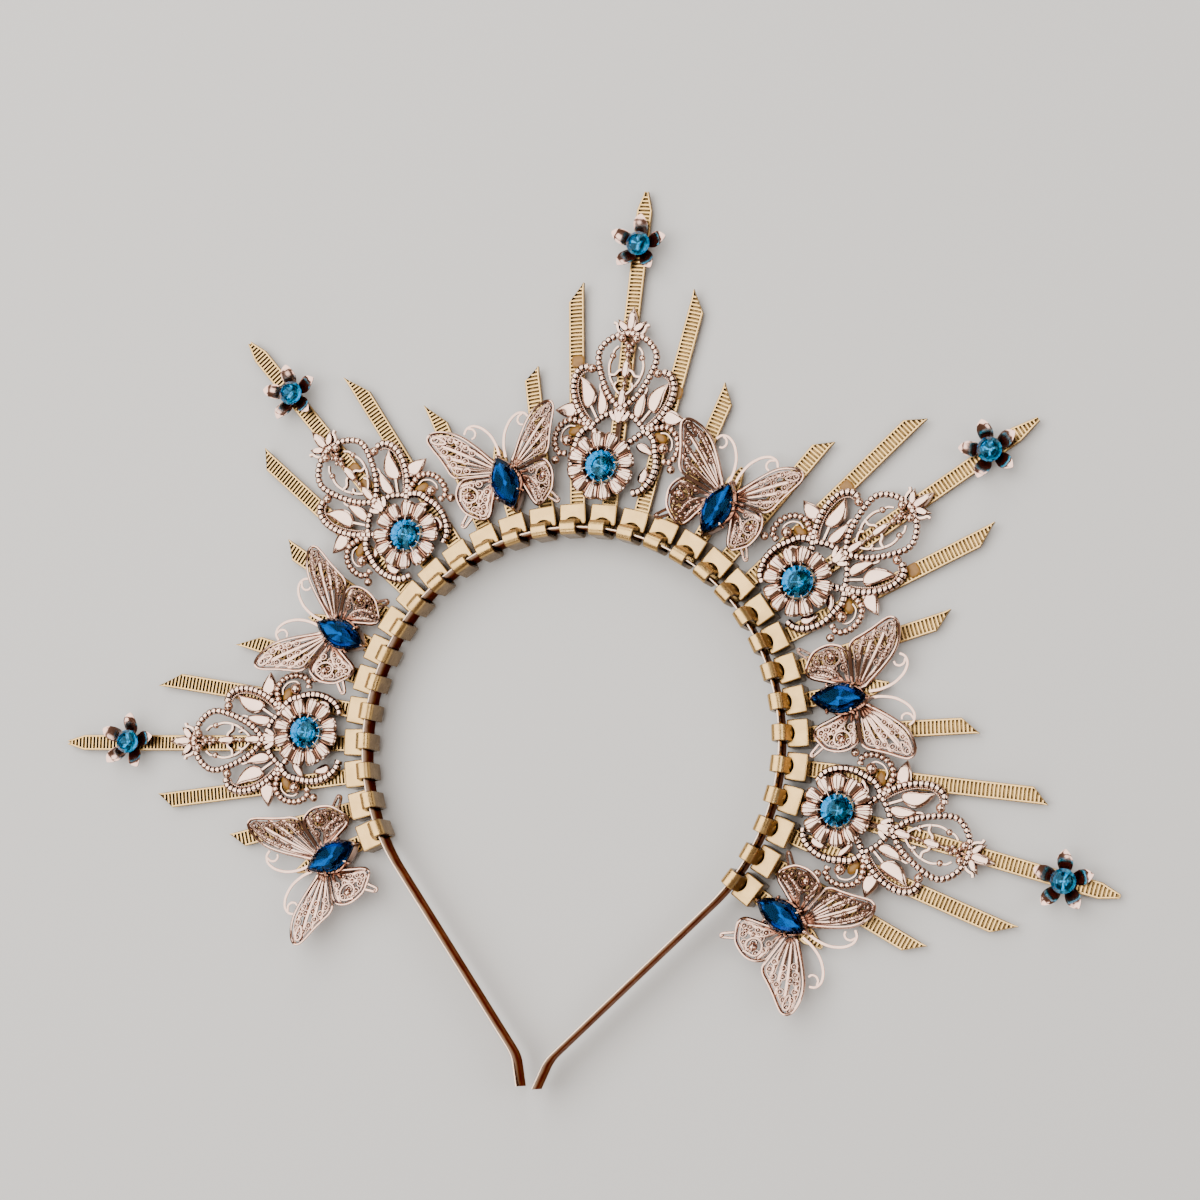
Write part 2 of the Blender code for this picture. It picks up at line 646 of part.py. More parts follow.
def set_on_surface():
    """Move the crown so that its box stands on the origin."""
    bpy.context.view_layer.update()
    points = [piece.matrix_world @ vert.co for piece in root.children
              for vert in piece.data.vertices]
    low = [min(point[axis] for point in points) for axis in range(3)]
    high = [max(point[axis] for point in points) for axis in range(3)]
    root.location = (-(low[0] + high[0]) / 2, -(low[1] + high[1]) / 2, -low[2])


for old in list(bpy.data.objects):
    bpy.data.objects.remove(old)
crown = bpy.data.collections.new("Halo crown")
bpy.context.scene.collection.children.link(crown)
root = link("crown", None)
looks = {
    "band": material("Rose gold steel", (0.80, 0.55, 0.45), 0.25, 1.0),
    "tie": material("Champagne gold paint", (0.66, 0.48, 0.28), 0.45, 0.6),
    "filigree": material("Rose gold castings", (0.80, 0.54, 0.42), 0.18, 1.0),
    "flower": material("Dark rose gold", (0.62, 0.36, 0.26), 0.15, 1.0),
    "round stone": material("Teal glass", (0.01, 0.20, 0.42), 0.03, 0.0),
    "navette": material("Capri blue glass", (0.0, 0.10, 0.28), 0.03, 0.0),
}
build_hoop()
build_ties()
build_plates()
build_small_flowers()
build_butterflies()
set_on_surface()
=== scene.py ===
# %% [markdown]
# # Halo crown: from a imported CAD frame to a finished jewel
# The crown is a metal hair band that stands on edge, with 31 gold-painted cable ties looped round
# it and fanned out as rays. Castings in rose gold and blue glass stones sit on the rays. The CAD
# frame already says where each piece is, so this lesson only builds what the eye sees on it.
# Every size below is in millimetres and every angle in degrees; MM turns a length to metres.

# %% Load the frame
import math

import bmesh
import bpy
import numpy as np
from mathutils import Matrix, Vector


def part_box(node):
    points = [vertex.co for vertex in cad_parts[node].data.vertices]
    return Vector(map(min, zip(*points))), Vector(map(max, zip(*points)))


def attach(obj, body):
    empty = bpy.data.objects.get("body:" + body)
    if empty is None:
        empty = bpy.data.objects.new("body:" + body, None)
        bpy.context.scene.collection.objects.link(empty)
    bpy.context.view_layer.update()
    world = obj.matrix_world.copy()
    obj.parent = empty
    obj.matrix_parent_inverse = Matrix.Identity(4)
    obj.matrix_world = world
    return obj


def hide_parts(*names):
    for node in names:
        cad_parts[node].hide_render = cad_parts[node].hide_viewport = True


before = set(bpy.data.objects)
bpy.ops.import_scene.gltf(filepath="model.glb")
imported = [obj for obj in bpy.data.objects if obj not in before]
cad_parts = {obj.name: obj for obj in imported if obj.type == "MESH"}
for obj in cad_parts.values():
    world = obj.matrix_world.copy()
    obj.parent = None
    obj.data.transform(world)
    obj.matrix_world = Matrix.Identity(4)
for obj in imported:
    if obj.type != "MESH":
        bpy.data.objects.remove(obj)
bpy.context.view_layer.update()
MM = 0.001
print("CAD nodes:", len(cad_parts))

# %% [markdown]
# ## The camera
# The photo was taken from a little to the right of the crown and through a long lens, so its
# circles look nearly round. A 90 mm lens on a 36 mm sensor gives the same flat view. The camera's
# place is measured from the hoop's centre, which the band's own box gives. The band's facets meet
# halfway between two ties, so its top is a chord and lies a little inside the true circle.

# %% Find the hoop's centre
TIE_PITCH = 8.03
HOOP_RADIUS = 60.0
BAND_THICKNESS = 0.5
low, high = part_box("hoop_band")
chord_top = HOOP_RADIUS * math.cos(math.radians(TIE_PITCH / 2)) + BAND_THICKNESS / 2
centre = Vector(((low.x + high.x) / 2, high.y - chord_top * MM, 0))
print("hoop centre in mm:", [round(value / MM, 3) for value in centre])

# %% Place the camera
LENS, SENSOR_WIDTH = 90, 36
CAMERA_PLACE = Vector((263.68, -36.8, 789.7))
CAMERA_RIGHT = Vector((0.9431, 0.1417, -0.3007))
CAMERA_UP = Vector((-0.1058, 0.9855, 0.1327))
CAMERA_BACK = Vector((0.3152, -0.0934, 0.9444))
NEAREST_SEEN = 50
camera = bpy.data.objects.new("Camera", bpy.data.cameras.new("Camera"))
bpy.context.scene.collection.objects.link(camera)
camera.data.lens = LENS
camera.data.sensor_width = SENSOR_WIDTH
camera.data.clip_start = NEAREST_SEEN * MM
camera.matrix_world = Matrix((CAMERA_RIGHT, CAMERA_UP, CAMERA_BACK)).transposed().to_4x4()
camera.location = centre + CAMERA_PLACE * MM
bpy.context.scene.camera = camera
print("camera distance in mm:", round(CAMERA_PLACE.length))

# %% [markdown]
# ## Shapes as plain arrays
# A jewel like this is wire, beads and thin castings, hundreds of them. Modelling each as its own
# object would be slow, so a shape here is a pair: an array of points in millimetres and a list of
# faces. Shapes are joined, moved and mirrored as arrays, and become one Blender mesh at the end.

# %% Join, move and mirror shapes
def joined(shapes):
    """Return one shape that holds all of these."""
    points, faces, start = [], [], 0
    for verts, corners in shapes:
        points.append(verts)
        faces += [tuple(corner + start for corner in face) for face in corners]
        start += len(verts)
    return np.vstack(points), faces


def moved(shape, offset=(0, 0, 0), turn=0.0):
    """Return a copy that is turned clockwise about Z in degrees and then shifted."""
    angle = math.radians(-turn)
    spin = np.array(((math.cos(angle), -math.sin(angle), 0), (math.sin(angle), math.cos(angle), 0),
                     (0, 0, 1)))
    return shape[0] @ spin.T + np.array(offset, float), shape[1]


def both_sides(shape):
    """Return a shape with its mirror image in the YZ plane."""
    image = (shape[0] * (-1, 1, 1), [face[::-1] for face in shape[1]])
    return joined([shape, image])


one_face = (np.array(((1, 0, 0), (2, 0, 0), (2, 1, 0))), [(0, 1, 2)])
print("a triangle and its mirror image:", both_sides(one_face)[1])

# %% [markdown]
# ## Curves and sections
# A goldsmith bends wire through a few fixed points. Here a Catmull-Rom curve does that: it passes
# through every point it is given, so a strand can be drawn straight from measurements. A loft then
# joins rings of points into a skin, and nearly every shape below is a loft.

# %% Curves
def curve_through(knots, steps=8, closed=False):
    """Return a smooth path through these points, flat ones lying at level zero."""
    knots = np.array([(*knot, 0.0)[:3] for knot in knots], float)
    if closed:
        padded = np.vstack((knots[-1:], knots, knots[:2]))
    else:
        padded = np.vstack((2 * knots[0] - knots[1], knots, 2 * knots[-1] - knots[-2]))
    shares = np.linspace(0, 1, steps, endpoint=False)[:, None]
    path = []
    for before, start, end, after in zip(padded, padded[1:], padded[2:], padded[3:]):
        bend = 2 * before - 5 * start + 4 * end - after
        twist = 3 * start - before - 3 * end + after
        path.append(start + 0.5 * ((end - before) * shares + bend * shares ** 2
                                   + twist * shares ** 3))
    if not closed:
        path.append(padded[-2:-1])
    return np.vstack(path)


def spaced(path, pitch, closed=False):
    """Return points at about this pitch along a path."""
    if closed:
        path = np.vstack((path, path[:1]))
    run = np.concatenate(((0,), np.cumsum(np.linalg.norm(np.diff(path, axis=0), axis=1))))
    count = max(2, round(run[-1] / pitch))
    stops = np.linspace(0, run[-1], count + 1)
    if closed:
        stops = stops[:-1]
    return np.column_stack([np.interp(stops, run, path[:, axis]) for axis in range(3)])


print("points on a curve through three:", len(curve_through(((0, 0), (1, 1), (2, 0)))))


# %% Lofts and swept sections
def loft(rings, closed=False):
    """Return the skin over rings of points, capped at both ends unless it closes on itself."""
    rings = np.asarray(rings, float)
    count, around = rings.shape[:2]
    faces = []
    for row in range(count if closed else count - 1):
        near, far = row * around, (row + 1) % count * around
        faces += [(near + k, near + (k + 1) % around, far + (k + 1) % around, far + k)
                  for k in range(around)]
    if not closed:
        faces.append(tuple(range(around))[::-1])
        faces.append(tuple(range((count - 1) * around, count * around)))
    return rings.reshape(-1, 3), faces


def circle(radius, sides=8):
    """Return a round section of (across, up) points."""
    angles = np.linspace(0, math.tau, sides, endpoint=False)
    return np.column_stack((np.cos(angles), np.sin(angles))) * radius


def swept(path, section, scale=1.0, closed=False):
    """Return a section carried along a path, scaled at each point."""
    if closed:
        ahead = np.roll(path, -1, 0) - np.roll(path, 1, 0)
    else:
        ahead = np.gradient(path, axis=0)
    ahead = ahead / np.linalg.norm(ahead, axis=1)[:, None]
    side = np.cross(ahead, (0, 0, 1))
    side /= np.linalg.norm(side, axis=1)[:, None]
    rise = np.cross(side, ahead)
    size = np.broadcast_to(scale, len(path))[:, None, None]
    rings = path[:, None] + size * (section[None, :, :1] * side[:, None]
                                    + section[None, :, 1:] * rise[:, None])
    return loft(rings, closed)


def wire(knots, radius, level=0.0, closed=False, sides=8):
    """Return a plain round wire through these points, raised by a level."""
    return swept(curve_through(knots, 6, closed) + (0, 0, level), circle(radius, sides),
                 closed=closed)


print("points on a straight wire:", len(wire(((0, 0), (0, 5)), 0.5)[0]))

# %% [markdown]
# ## Beads, balls and leaves
# The castings copy beaded wire: a strand whose radius swells and shrinks at an even pitch. A power
# of the place within one bead sets its kind. A low power gives round pearls, and a high one gives
# short drums with narrow grooves, which is what the thicker strands on the real castings are. The
# section is a circle with slightly flattened sides, so that each drum's top catches the light.

# %% Beaded strands
RINGS_PER_BEAD = 6
STRAND_SQUARENESS = 0.75


def beaded(knots, radius, pitch, power, depth, level):
    """Return a strand with beads; the power sets how square they are, the depth their grooves."""
    path = spaced(curve_through(knots, 10) + (0, 0, level), pitch / RINGS_PER_BEAD)
    phase = np.arange(len(path)) % RINGS_PER_BEAD / RINGS_PER_BEAD * 2 - 1
    section = circle(1.0, 12)
    section = np.sign(section) * np.abs(section) ** STRAND_SQUARENESS * radius
    return swept(path, section, 1 - depth * np.abs(phase) ** power)


print("faces in five beads:", len(beaded(((0, 0), (0, 7.5)), 1.0, 1.5, 5, 0.5, 0.0)[1]))

# %% Balls
seed_shape = bmesh.new()
bmesh.ops.create_icosphere(seed_shape, subdivisions=2, radius=1.0)
BALL_POINTS = np.array([vert.co[:] for vert in seed_shape.verts])
BALL_FACES = [tuple(vert.index for vert in face.verts) for face in seed_shape.faces]
seed_shape.free()


def ball(across, along, radius, level=None):
    """Return a cast ball that rests on the level below it, or is centred at one."""
    height = radius if level is None else level
    return BALL_POINTS * radius + (across, along, height), BALL_FACES


print("ball faces:", len(BALL_FACES))

# %% Leaves and flat wires
# across and up, as shares of the leaf's half width and height at that place
LEAF_TOP = ((-1, 0.3), (-0.92, 0.72), (-0.7, 0.93), (-0.3, 1), (0.3, 1), (0.7, 0.93),
            (0.92, 0.72), (1, 0.3))
LEAF_BACK = (0.95, -0.95)
LEAF_RINGS = 16
# the widest value of sqrt(share) * (1 - share), so that swell goes from 0 up to 1
WIDEST_SWELL = 0.385


def leaf(base, tip, width, height, level=0.1, bend=0.0):
    """Return a flat leaf with soft edges: round at its base, pointed and bent at its tip."""
    base, tip = np.array(base, float), np.array(tip, float)
    axis = tip - base
    side = np.array((-axis[1], axis[0])) / np.linalg.norm(axis)
    rings = []
    for share in 0.5 - 0.495 * np.cos(np.linspace(0, math.pi, LEAF_RINGS)):
        swell = math.sqrt(share) * (1 - share) / WIDEST_SWELL
        middle = base + axis * share + side * bend * (share ** 2 - share)
        ring = []
        for across, rise in LEAF_TOP:
            point = middle + side * across * width / 2 * swell
            ring.append((*point, level + height * rise * (0.55 + 0.45 * min(1, swell * 1.6))))
        ring += [(*(middle + side * across * width / 2 * swell), level) for across in LEAF_BACK]
        rings.append(ring)
    return loft(rings)


def flat_wire(knots, width, height, level=0.3, closed=False):
    """Return a flat cast strip with a level top and soft edges through these points."""
    half = width / 2
    section = np.array(((-half, 0), (half, 0), (half, height * 0.7), (half * 0.62, height),
                        (-half * 0.62, height), (-half, height * 0.7)))
    return swept(curve_through(knots, 6, closed) + (0, 0, level), section, closed=closed)


print("leaf faces:", len(leaf((0, 0), (0, 8), 4, 1.3)[1]))

# %% [markdown]
# ## Colours and nodes
# Colours are picked as sRGB hex values, as a paint program shows them, but a shader works in
# linear light. One function does that change. One more adds a node together with its settings and
# links, so that each material below reads as a short recipe.

# %% Colour and node helpers
def linear(code):
    """Return an sRGB hex colour as linear red, green, blue and alpha."""
    channels = [int(code[start:start + 2], 16) / 255 for start in (1, 3, 5)]
    return [value / 12.92 if value <= 0.04045 else ((value + 0.055) / 1.055) ** 2.4
            for value in channels] + [1.0]


def add_node(tree, kind, settings=(), values=(), links=()):
    """Add a node with its settings, the values of its sockets and what they link to."""
    node = tree.nodes.new(kind)
    for name, value in dict(settings).items():
        setattr(node, name, value)
    for name, value in dict(values).items():
        node.inputs[name].default_value = value
    for name, source in dict(links).items():
        tree.links.new(source, node.inputs[name])
    return node


def blank_material(name, values):
    """Return a new material with its shader's own sockets set."""
    made = bpy.data.materials.new(name)
    made.use_nodes = True
    shader = made.node_tree.nodes["Principled BSDF"]
    for socket, value in values.items():
        shader.inputs[socket].default_value = value
    return made, made.node_tree, shader


print("mid grey in linear light:", round(linear("#808080")[0], 3))

# %% [markdown]
# ## Metal finishes
# All the metals share one build-up, with painted shade in its base colour. An ambient-occlusion
# node mixes a dark shade colour in where a spot is closed in, and so does the slope: faces that
# look sideways get painted shade, and level faces a painted highlight. A soft noise makes the
# plating a little uneven, and a fine one in the bump gives the skin of its base.

# %% One recipe for a plated or painted metal
# how far apart cloudy patches of the plating are, and how much of the dark colour they bring in
PATCH_SIZE, PATCH_SHARE = 4.0, 0.35
# the up part of the normal where painted shade on the flanks starts and ends, and how much
# shade is taken off level faces as a painted highlight
FLAT_ENOUGH, STEEP, LEVEL_HIGHLIGHT = 0.8, 0.1, 0.12
# how open a spot is where its painted shade starts, and where it is full
OPEN_ENOUGH, CLOSED_IN = 0.85, 0.3


def metal_finish(name, polished, shade_and_patch_colour, metallic, roughness, grain, depth, reach, flank_shade_share):
    """Return a metal with painted shade in hollows within reach and, by a share, on its flanks."""
    made, tree, shader = blank_material(name, {"Metallic": metallic, "Roughness": roughness[0]})
    coordinates = add_node(tree, "ShaderNodeTexCoord").outputs
    place = coordinates["Object"]
    normal = add_node(tree, "ShaderNodeSeparateXYZ", links={"Vector": coordinates["Normal"]})
    # painted shade on faces that look sideways, and a painted highlight on level ones
    flank_shade = add_node(tree, "ShaderNodeMapRange",
                     values={"From Min": FLAT_ENOUGH, "From Max": STEEP,
                             "To Min": -LEVEL_HIGHLIGHT, "To Max": flank_shade_share - LEVEL_HIGHLIGHT},
                     links={"Value": normal.outputs["Z"]})
    patches = add_node(tree, "ShaderNodeTexNoise",
                       values={"Scale": 1 / (PATCH_SIZE * MM), "Detail": 3.0},
                       links={"Vector": place})
    # the metal's own colour, and the dark colour of its painted shade and cloudy patches
    tint = add_node(tree, "ShaderNodeMix", {"data_type": "RGBA"},
                    {"A": linear(polished), "B": linear(shade_and_patch_colour)})
    # painted shade in hollows: the less open a spot, the more of the dark colour
    shade = add_node(tree, "ShaderNodeAmbientOcclusion", {"samples": 6}, {"Distance": reach * MM})
    hollow_shade = add_node(tree, "ShaderNodeMapRange",
                      values={"From Min": OPEN_ENOUGH, "From Max": CLOSED_IN, "To Min": 0.0,
                              "To Max": 1.0}, links={"Value": shade.outputs["AO"]})
    patches_and_flank_shade = add_node(tree, "ShaderNodeMath", {"operation": "MULTIPLY_ADD"}, {1: PATCH_SHARE},
                      {0: patches.outputs["Fac"], 2: flank_shade.outputs["Result"]})
    mix = add_node(tree, "ShaderNodeMath", {"operation": "ADD", "use_clamp": True},
                   links={0: hollow_shade.outputs["Result"], 1: patches_and_flank_shade.outputs["Value"]})
    tree.links.new(mix.outputs["Value"], tint.inputs["Factor"])
    tree.links.new(tint.outputs["Result"], shader.inputs["Base Color"])
    gloss = add_node(tree, "ShaderNodeMapRange",
                     values={"From Min": 0.3, "From Max": 0.7, "To Min": roughness[0],
                             "To Max": roughness[1]}, links={"Value": patches.outputs["Fac"]})
    tree.links.new(gloss.outputs["Result"], shader.inputs["Roughness"])
    skin = add_node(tree, "ShaderNodeTexNoise",
                    values={"Scale": 1 / (grain * MM), "Detail": 2.0}, links={"Vector": place})
    bump = add_node(tree, "ShaderNodeBump", values={"Strength": 0.6, "Distance": depth * MM},
                    links={"Height": skin.outputs["Fac"]})
    tree.links.new(bump.outputs["Normal"], shader.inputs["Normal"])
    return made


print("cloudy patches in mm:", PATCH_SIZE)

# %% The metals
# Nylon 6/6 cable ties, sprayed with champagne-gold metallic paint: a satin, slightly grainy gold
# that never mirrors. Real flakes are under 0.1 mm, so the grain is drawn at 0.35 mm to show.
# its dark colour is painted shade, mixed in within 1 mm of a hollow and on faces that look sideways
sprayed_nylon = metal_finish(
    "champagne gold sprayed nylon", "#EEC27C", "#2E1804", metallic=0.95, roughness=(0.22, 0.34),
    grain=0.35, depth=0.06, reach=1.0, flank_shade_share=0.75)
# Cast zinc plated in rose gold and tumbled: pinkish white glints, and painted shade, brown, in the
# pierced hollows and on the flanks.
plated_zinc = metal_finish(
    "rose gold plated zinc casting", "#FFD8C0", "#4A1D0E", metallic=1.0, roughness=(0.08, 0.2),
    grain=0.9, depth=0.02, reach=0.9, flank_shade_share=0.55)
# The same plating on the butterflies' fine lace, in a rosier and slightly darker colour, with more
# brown painted shade on its flanks.
plated_lace = metal_finish(
    "rose gold plated zinc lace", "#F8CCB4", "#4C2012", metallic=1.0, roughness=(0.08, 0.2),
    grain=0.9, depth=0.02, reach=0.7, flank_shade_share=0.7)
# Stamped brass with a darker rose-gold plate: thin petals, bright at the tips, with painted shade,
# nearly black, that reaches deep inside the cups.
plated_brass = metal_finish(
    "dark rose gold plated brass", "#F3C6B2", "#36160D", metallic=1.0, roughness=(0.12, 0.24),
    grain=1.2, depth=0.03, reach=2.6, flank_shade_share=0.9)
# The same stamped brass on the large flowers, polished further: the lobes' backs shine white and
# painted shade takes their flanks through pink to brown, so each petal reads as a fluted shell.
plated_petals = metal_finish(
    "polished rose gold plated brass", "#FFD9C2", "#4A1D0E", metallic=1.0, roughness=(0.1, 0.22),
    grain=1.2, depth=0.03, reach=1.4, flank_shade_share=0.95)
# Spring steel strip plated in rose gold: its cut edge is a bright line, and its flat faces, which
# look sideways, are brown with painted shade.
plated_steel = metal_finish(
    "rose gold plated steel strip", "#FFE0C4", "#5C3A2A", metallic=1.0, roughness=(0.16, 0.28),
    grain=0.6, depth=0.01, reach=1.0, flank_shade_share=0.9)
# Seen almost edge-on the thin plating stays brown, so the tint at grazing angles is darker too.
steel_shader = plated_steel.node_tree.nodes["Principled BSDF"]
steel_shader.inputs["Specular Tint"].default_value = linear("#B08468")
print("metals:", [look.name for look in (sprayed_nylon, plated_zinc, plated_lace, plated_brass,
                                         plated_petals, plated_steel)])

# %% [markdown]
# ## Glass and foil
# The stones are pressed lead-free crystal with a foil behind: light goes in through the clear
# facets, comes back off the foil and leaves tinted. So each stone has two materials: coloured
# glass in front, with the index of crystal glass, and a mirror foil on the facets behind. The
# glue that holds the castings shows in a few places too. Each of the three has a colour that
# drifts with a soft noise, so one helper mixes two colours and links them in.

# %% Glass and foil
CRYSTAL_IOR = 1.56


def drifting_colour(tree, shader, first, second, size, detail=2.0):
    """Mix two linear colours by a noise of this size and link them to the shader."""
    place = add_node(tree, "ShaderNodeTexCoord").outputs["Object"]
    noise = add_node(tree, "ShaderNodeTexNoise",
                     values={"Scale": 1 / (size * MM), "Detail": detail}, links={"Vector": place})
    mix = add_node(tree, "ShaderNodeMix", {"data_type": "RGBA"}, {"A": first, "B": second},
                   {"Factor": noise.outputs["Fac"]})
    tree.links.new(mix.outputs["Result"], shader.inputs["Base Color"])


def crystal(name, colour, foil_colour, foil_glint, glare):
    """Return the tinted glass and the foil of one kind of stone; glare tints its surface shine."""
    glass, tree, shader = blank_material(name, {
        "Base Color": linear(colour), "Roughness": 0.02, "IOR": CRYSTAL_IOR,
        "Transmission Weight": 1.0, "Specular Tint": linear(glare)})
    deeper = [value * 0.8 for value in linear(colour)[:3]] + [1]
    drifting_colour(tree, shader, linear(colour), deeper, 2.5, 1.0)
    foil, tree, shader = blank_material(name + " foil", {"Metallic": 1.0, "Roughness": 0.12})
    drifting_colour(tree, shader, linear(foil_colour), linear(foil_glint), 1.2)
    return glass, foil


# Teal crystal, pressed and fire-polished: clear and bright, with white glints off its foil.
teal_glass, teal_foil = crystal("teal crystal", "#0C9ACB", "#7AD8F8", "#F0FBFF", "#7FC4E0")
# Deep blue crystal, made the same way. The boat-shaped stones have a large flat table, and nearly
# all of them show deep blue in the photo and not the lamp, so their surface shine is tinted more.
blue_glass, blue_foil = crystal("deep blue crystal", "#08659E", "#2A86C0", "#8CC4E8", "#2F6F9E")
print("stone finishes:", teal_glass.name, "and", blue_glass.name)

# %% Glue
# Hot-melt glue, squeezed out and set: amber, waxy and barely clear.
glue, glue_tree, glue_shader = blank_material("amber hot-melt glue", {
    "Roughness": 0.38, "IOR": 1.48, "Transmission Weight": 0.15})
drifting_colour(glue_tree, glue_shader, linear("#C48E3A"), linear("#8A5818"), 1.5)
print("glue finish:", glue.name)

# %% [markdown]
# ## From shapes to pieces
# A mesh can be shared: five plates with the same openwork need only one copy in memory. So making
# the mesh and placing a piece are two steps. Each piece rides on the crown's one body and stands
# for a CAD node where it replaces one.

# %% Meshes and pieces
TIE_COUNT = 31


def mesh_of(name, layers, sharp=40):
    """Return a mesh in metres from (shape, material) layers, smooth except over sharp edges."""
    verts, faces = joined([shape for shape, _look in layers])
    mesh = bpy.data.meshes.new(name)
    mesh.from_pydata((verts * MM).tolist(), [], faces)
    start = 0
    looks = np.zeros(len(faces), int)
    for order, (shape, look) in enumerate(layers):
        mesh.materials.append(look)
        looks[start:start + len(shape[1])] = order
        start += len(shape[1])
    mesh.polygons.foreach_set("material_index", looks)
    tidy = bmesh.new()
    tidy.from_mesh(mesh)
    bmesh.ops.recalc_face_normals(tidy, faces=tidy.faces)
    tidy.to_mesh(mesh)
    tidy.free()
    mesh.shade_smooth()
    mesh.set_sharp_from_angle(angle=math.radians(sharp))
    return mesh


def tie_angle(number):
    """Return a tie's direction; ties are numbered clockwise and the middle one points up."""
    return 90 + ((TIE_COUNT + 1) / 2 - number) * TIE_PITCH


def seat(number, outward, sideways=0.0, turn=0.0, level=0.0):
    """Return a place on a tie, in millimetres: Y outward, X clockwise, turned clockwise."""
    spoke = Matrix.Rotation(math.radians(tie_angle(number) - 90), 4, "Z")
    place = Matrix.Translation(Vector((sideways, outward, level)) * MM)
    return (Matrix.Translation(centre) @ spoke @ place
            @ Matrix.Rotation(math.radians(-turn), 4, "Z"))


def add_piece(name, mesh, slot, place, *nodes):
    """Add a piece of the crown that stands for these CAD nodes, if any."""
    piece = bpy.data.objects.new(name, mesh)
    bpy.context.scene.collection.objects.link(piece)
    piece.matrix_world = place
    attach(piece, "root")
    if nodes:
        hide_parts(*nodes)


print("the middle tie points to", tie_angle((TIE_COUNT + 1) / 2), "degrees")

# %% [markdown]
# ## The hair band
# The band is a strip of spring steel, 8 mm wide and half a millimetre thick, that stands on edge.
# It is round over the head, straight down to the ends, and kinked inward there. The CAD has flat
# facets between the ties. Here it is drawn as a true arc with rounded long edges. Its back edge
# lies in the bend of the ties' loops, so its level follows from their slot and bend.

# %% Sizes of the band and of the loops round it
HOOP_HALF_ARC = 131.0
BAND_WIDTH = 8.0
BAND_EDGE = 0.1
KINK_HALF_GAP = 4.8
END_HALF_GAP = 2.3
END_LENGTH = 8.5
LEG_SKEW = 2.1
KINK_ROUNDING = 2.2
SLOT_LEVEL = 2.1
LOOP_BEND = 1.5
STRAP_THICKNESS = 1.2
STRAP_TOP = SLOT_LEVEL + STRAP_THICKNESS / 2
LOOP_CLEARANCE = 0.4
BEND_INSET = math.sqrt((LOOP_BEND - STRAP_THICKNESS / 2 - LOOP_CLEARANCE) ** 2
                       - (BAND_THICKNESS / 2) ** 2)
BAND_BACK = SLOT_LEVEL + LOOP_BEND - BEND_INSET
print("band's back edge at", round(BAND_BACK, 2), "mm over the floor")

# %% Build the hair band
angles = np.radians(90 - np.linspace(-HOOP_HALF_ARC, HOOP_HALF_ARC, 132))
arc = np.column_stack((np.cos(angles), np.sin(angles))) * HOOP_RADIUS
tangent = np.array((math.sin(angles[-1]), -math.cos(angles[-1])))
kink = arc[-1] + tangent * (arc[-1][0] - KINK_HALF_GAP) / abs(tangent[0])
fall = math.sqrt(END_LENGTH ** 2 - (KINK_HALF_GAP - END_HALF_GAP) ** 2)


def leg(way):
    """Return one leg's points from the arc to its end, the kink rounded."""
    corner = np.array((LEG_SKEW + way * KINK_HALF_GAP, kink[1]))
    end = np.array((LEG_SKEW + way * END_HALF_GAP, kink[1] - fall))
    top = arc[-1] * (way, 1)
    into = (top - corner) / np.linalg.norm(top - corner)
    out = (end - corner) / np.linalg.norm(end - corner)
    bend = [corner * 2 * share * (1 - share) + (corner + into * KINK_ROUNDING) * (1 - share) ** 2
            + (corner + out * KINK_ROUNDING) * share ** 2 for share in np.linspace(0, 1, 7)]
    straight = [top + (bend[0] - top) * share for share in np.linspace(0.06, 0.94, 12)]
    return straight + bend + [end]


band_path = np.array([(*point, 0) for point in leg(-1)[::-1] + list(arc) + leg(1)])
half, band_front = BAND_THICKNESS / 2, BAND_BACK + BAND_WIDTH
band_section = np.array((
    (-half, BAND_BACK + BAND_EDGE), (-half + BAND_EDGE, BAND_BACK), (half - BAND_EDGE, BAND_BACK),
    (half, BAND_BACK + BAND_EDGE), (half, band_front - BAND_EDGE), (half - BAND_EDGE, band_front),
    (-half + BAND_EDGE, band_front), (-half, band_front - BAND_EDGE)))
band_mesh = mesh_of("hair band", [(swept(band_path, band_section), plated_steel)], 50)
add_piece("hair_band", band_mesh, "band", Matrix.Translation(centre), "hoop_band")
print("band points:", len(band_path))

# %% [markdown]
# ## The cable ties
# A cable tie has a ribbed strap and a box head. The strap leaves the head's front, loops over the
# band, comes back under it through the head and runs out as a ray. Its two rails stand above a
# channel with a cross tooth every 1.1 mm, the pattern that the eye sees along each ray.
# The ends were snipped: most slant to one side, and the long ones keep their own pointed tip.

# %% Sizes of the ties, and how each was cut
STRAP_WIDTH = 4.5
STRAP_EDGE = 0.18
TIP_FLAT = 1.2
RAIL = 0.52
RAIL_SLOPE = 0.05
CHANNEL_DEPTH = 0.8
THIN = 0.02
TOOTH_PITCH = 1.1
TOOTH_LENGTH = 0.6
TOOTH_FACE = 0.1
TOOTH_CREST_END = 0.52
TOOTH_DROP = 0.06
NARROWEST_TOOTH = 0.4
HEAD_WIDTH = 7.6
HEAD_LENGTH = 7.2
HEAD_HEIGHT = 6.0
HEAD_STANDOFF = 1.2
LOOP_CREST = 1.3
# how far each kind reaches from the hoop's circle
REACH = {"long": 96.0, "mid": 70.5, "short": 49.3, "stub": 29.6}
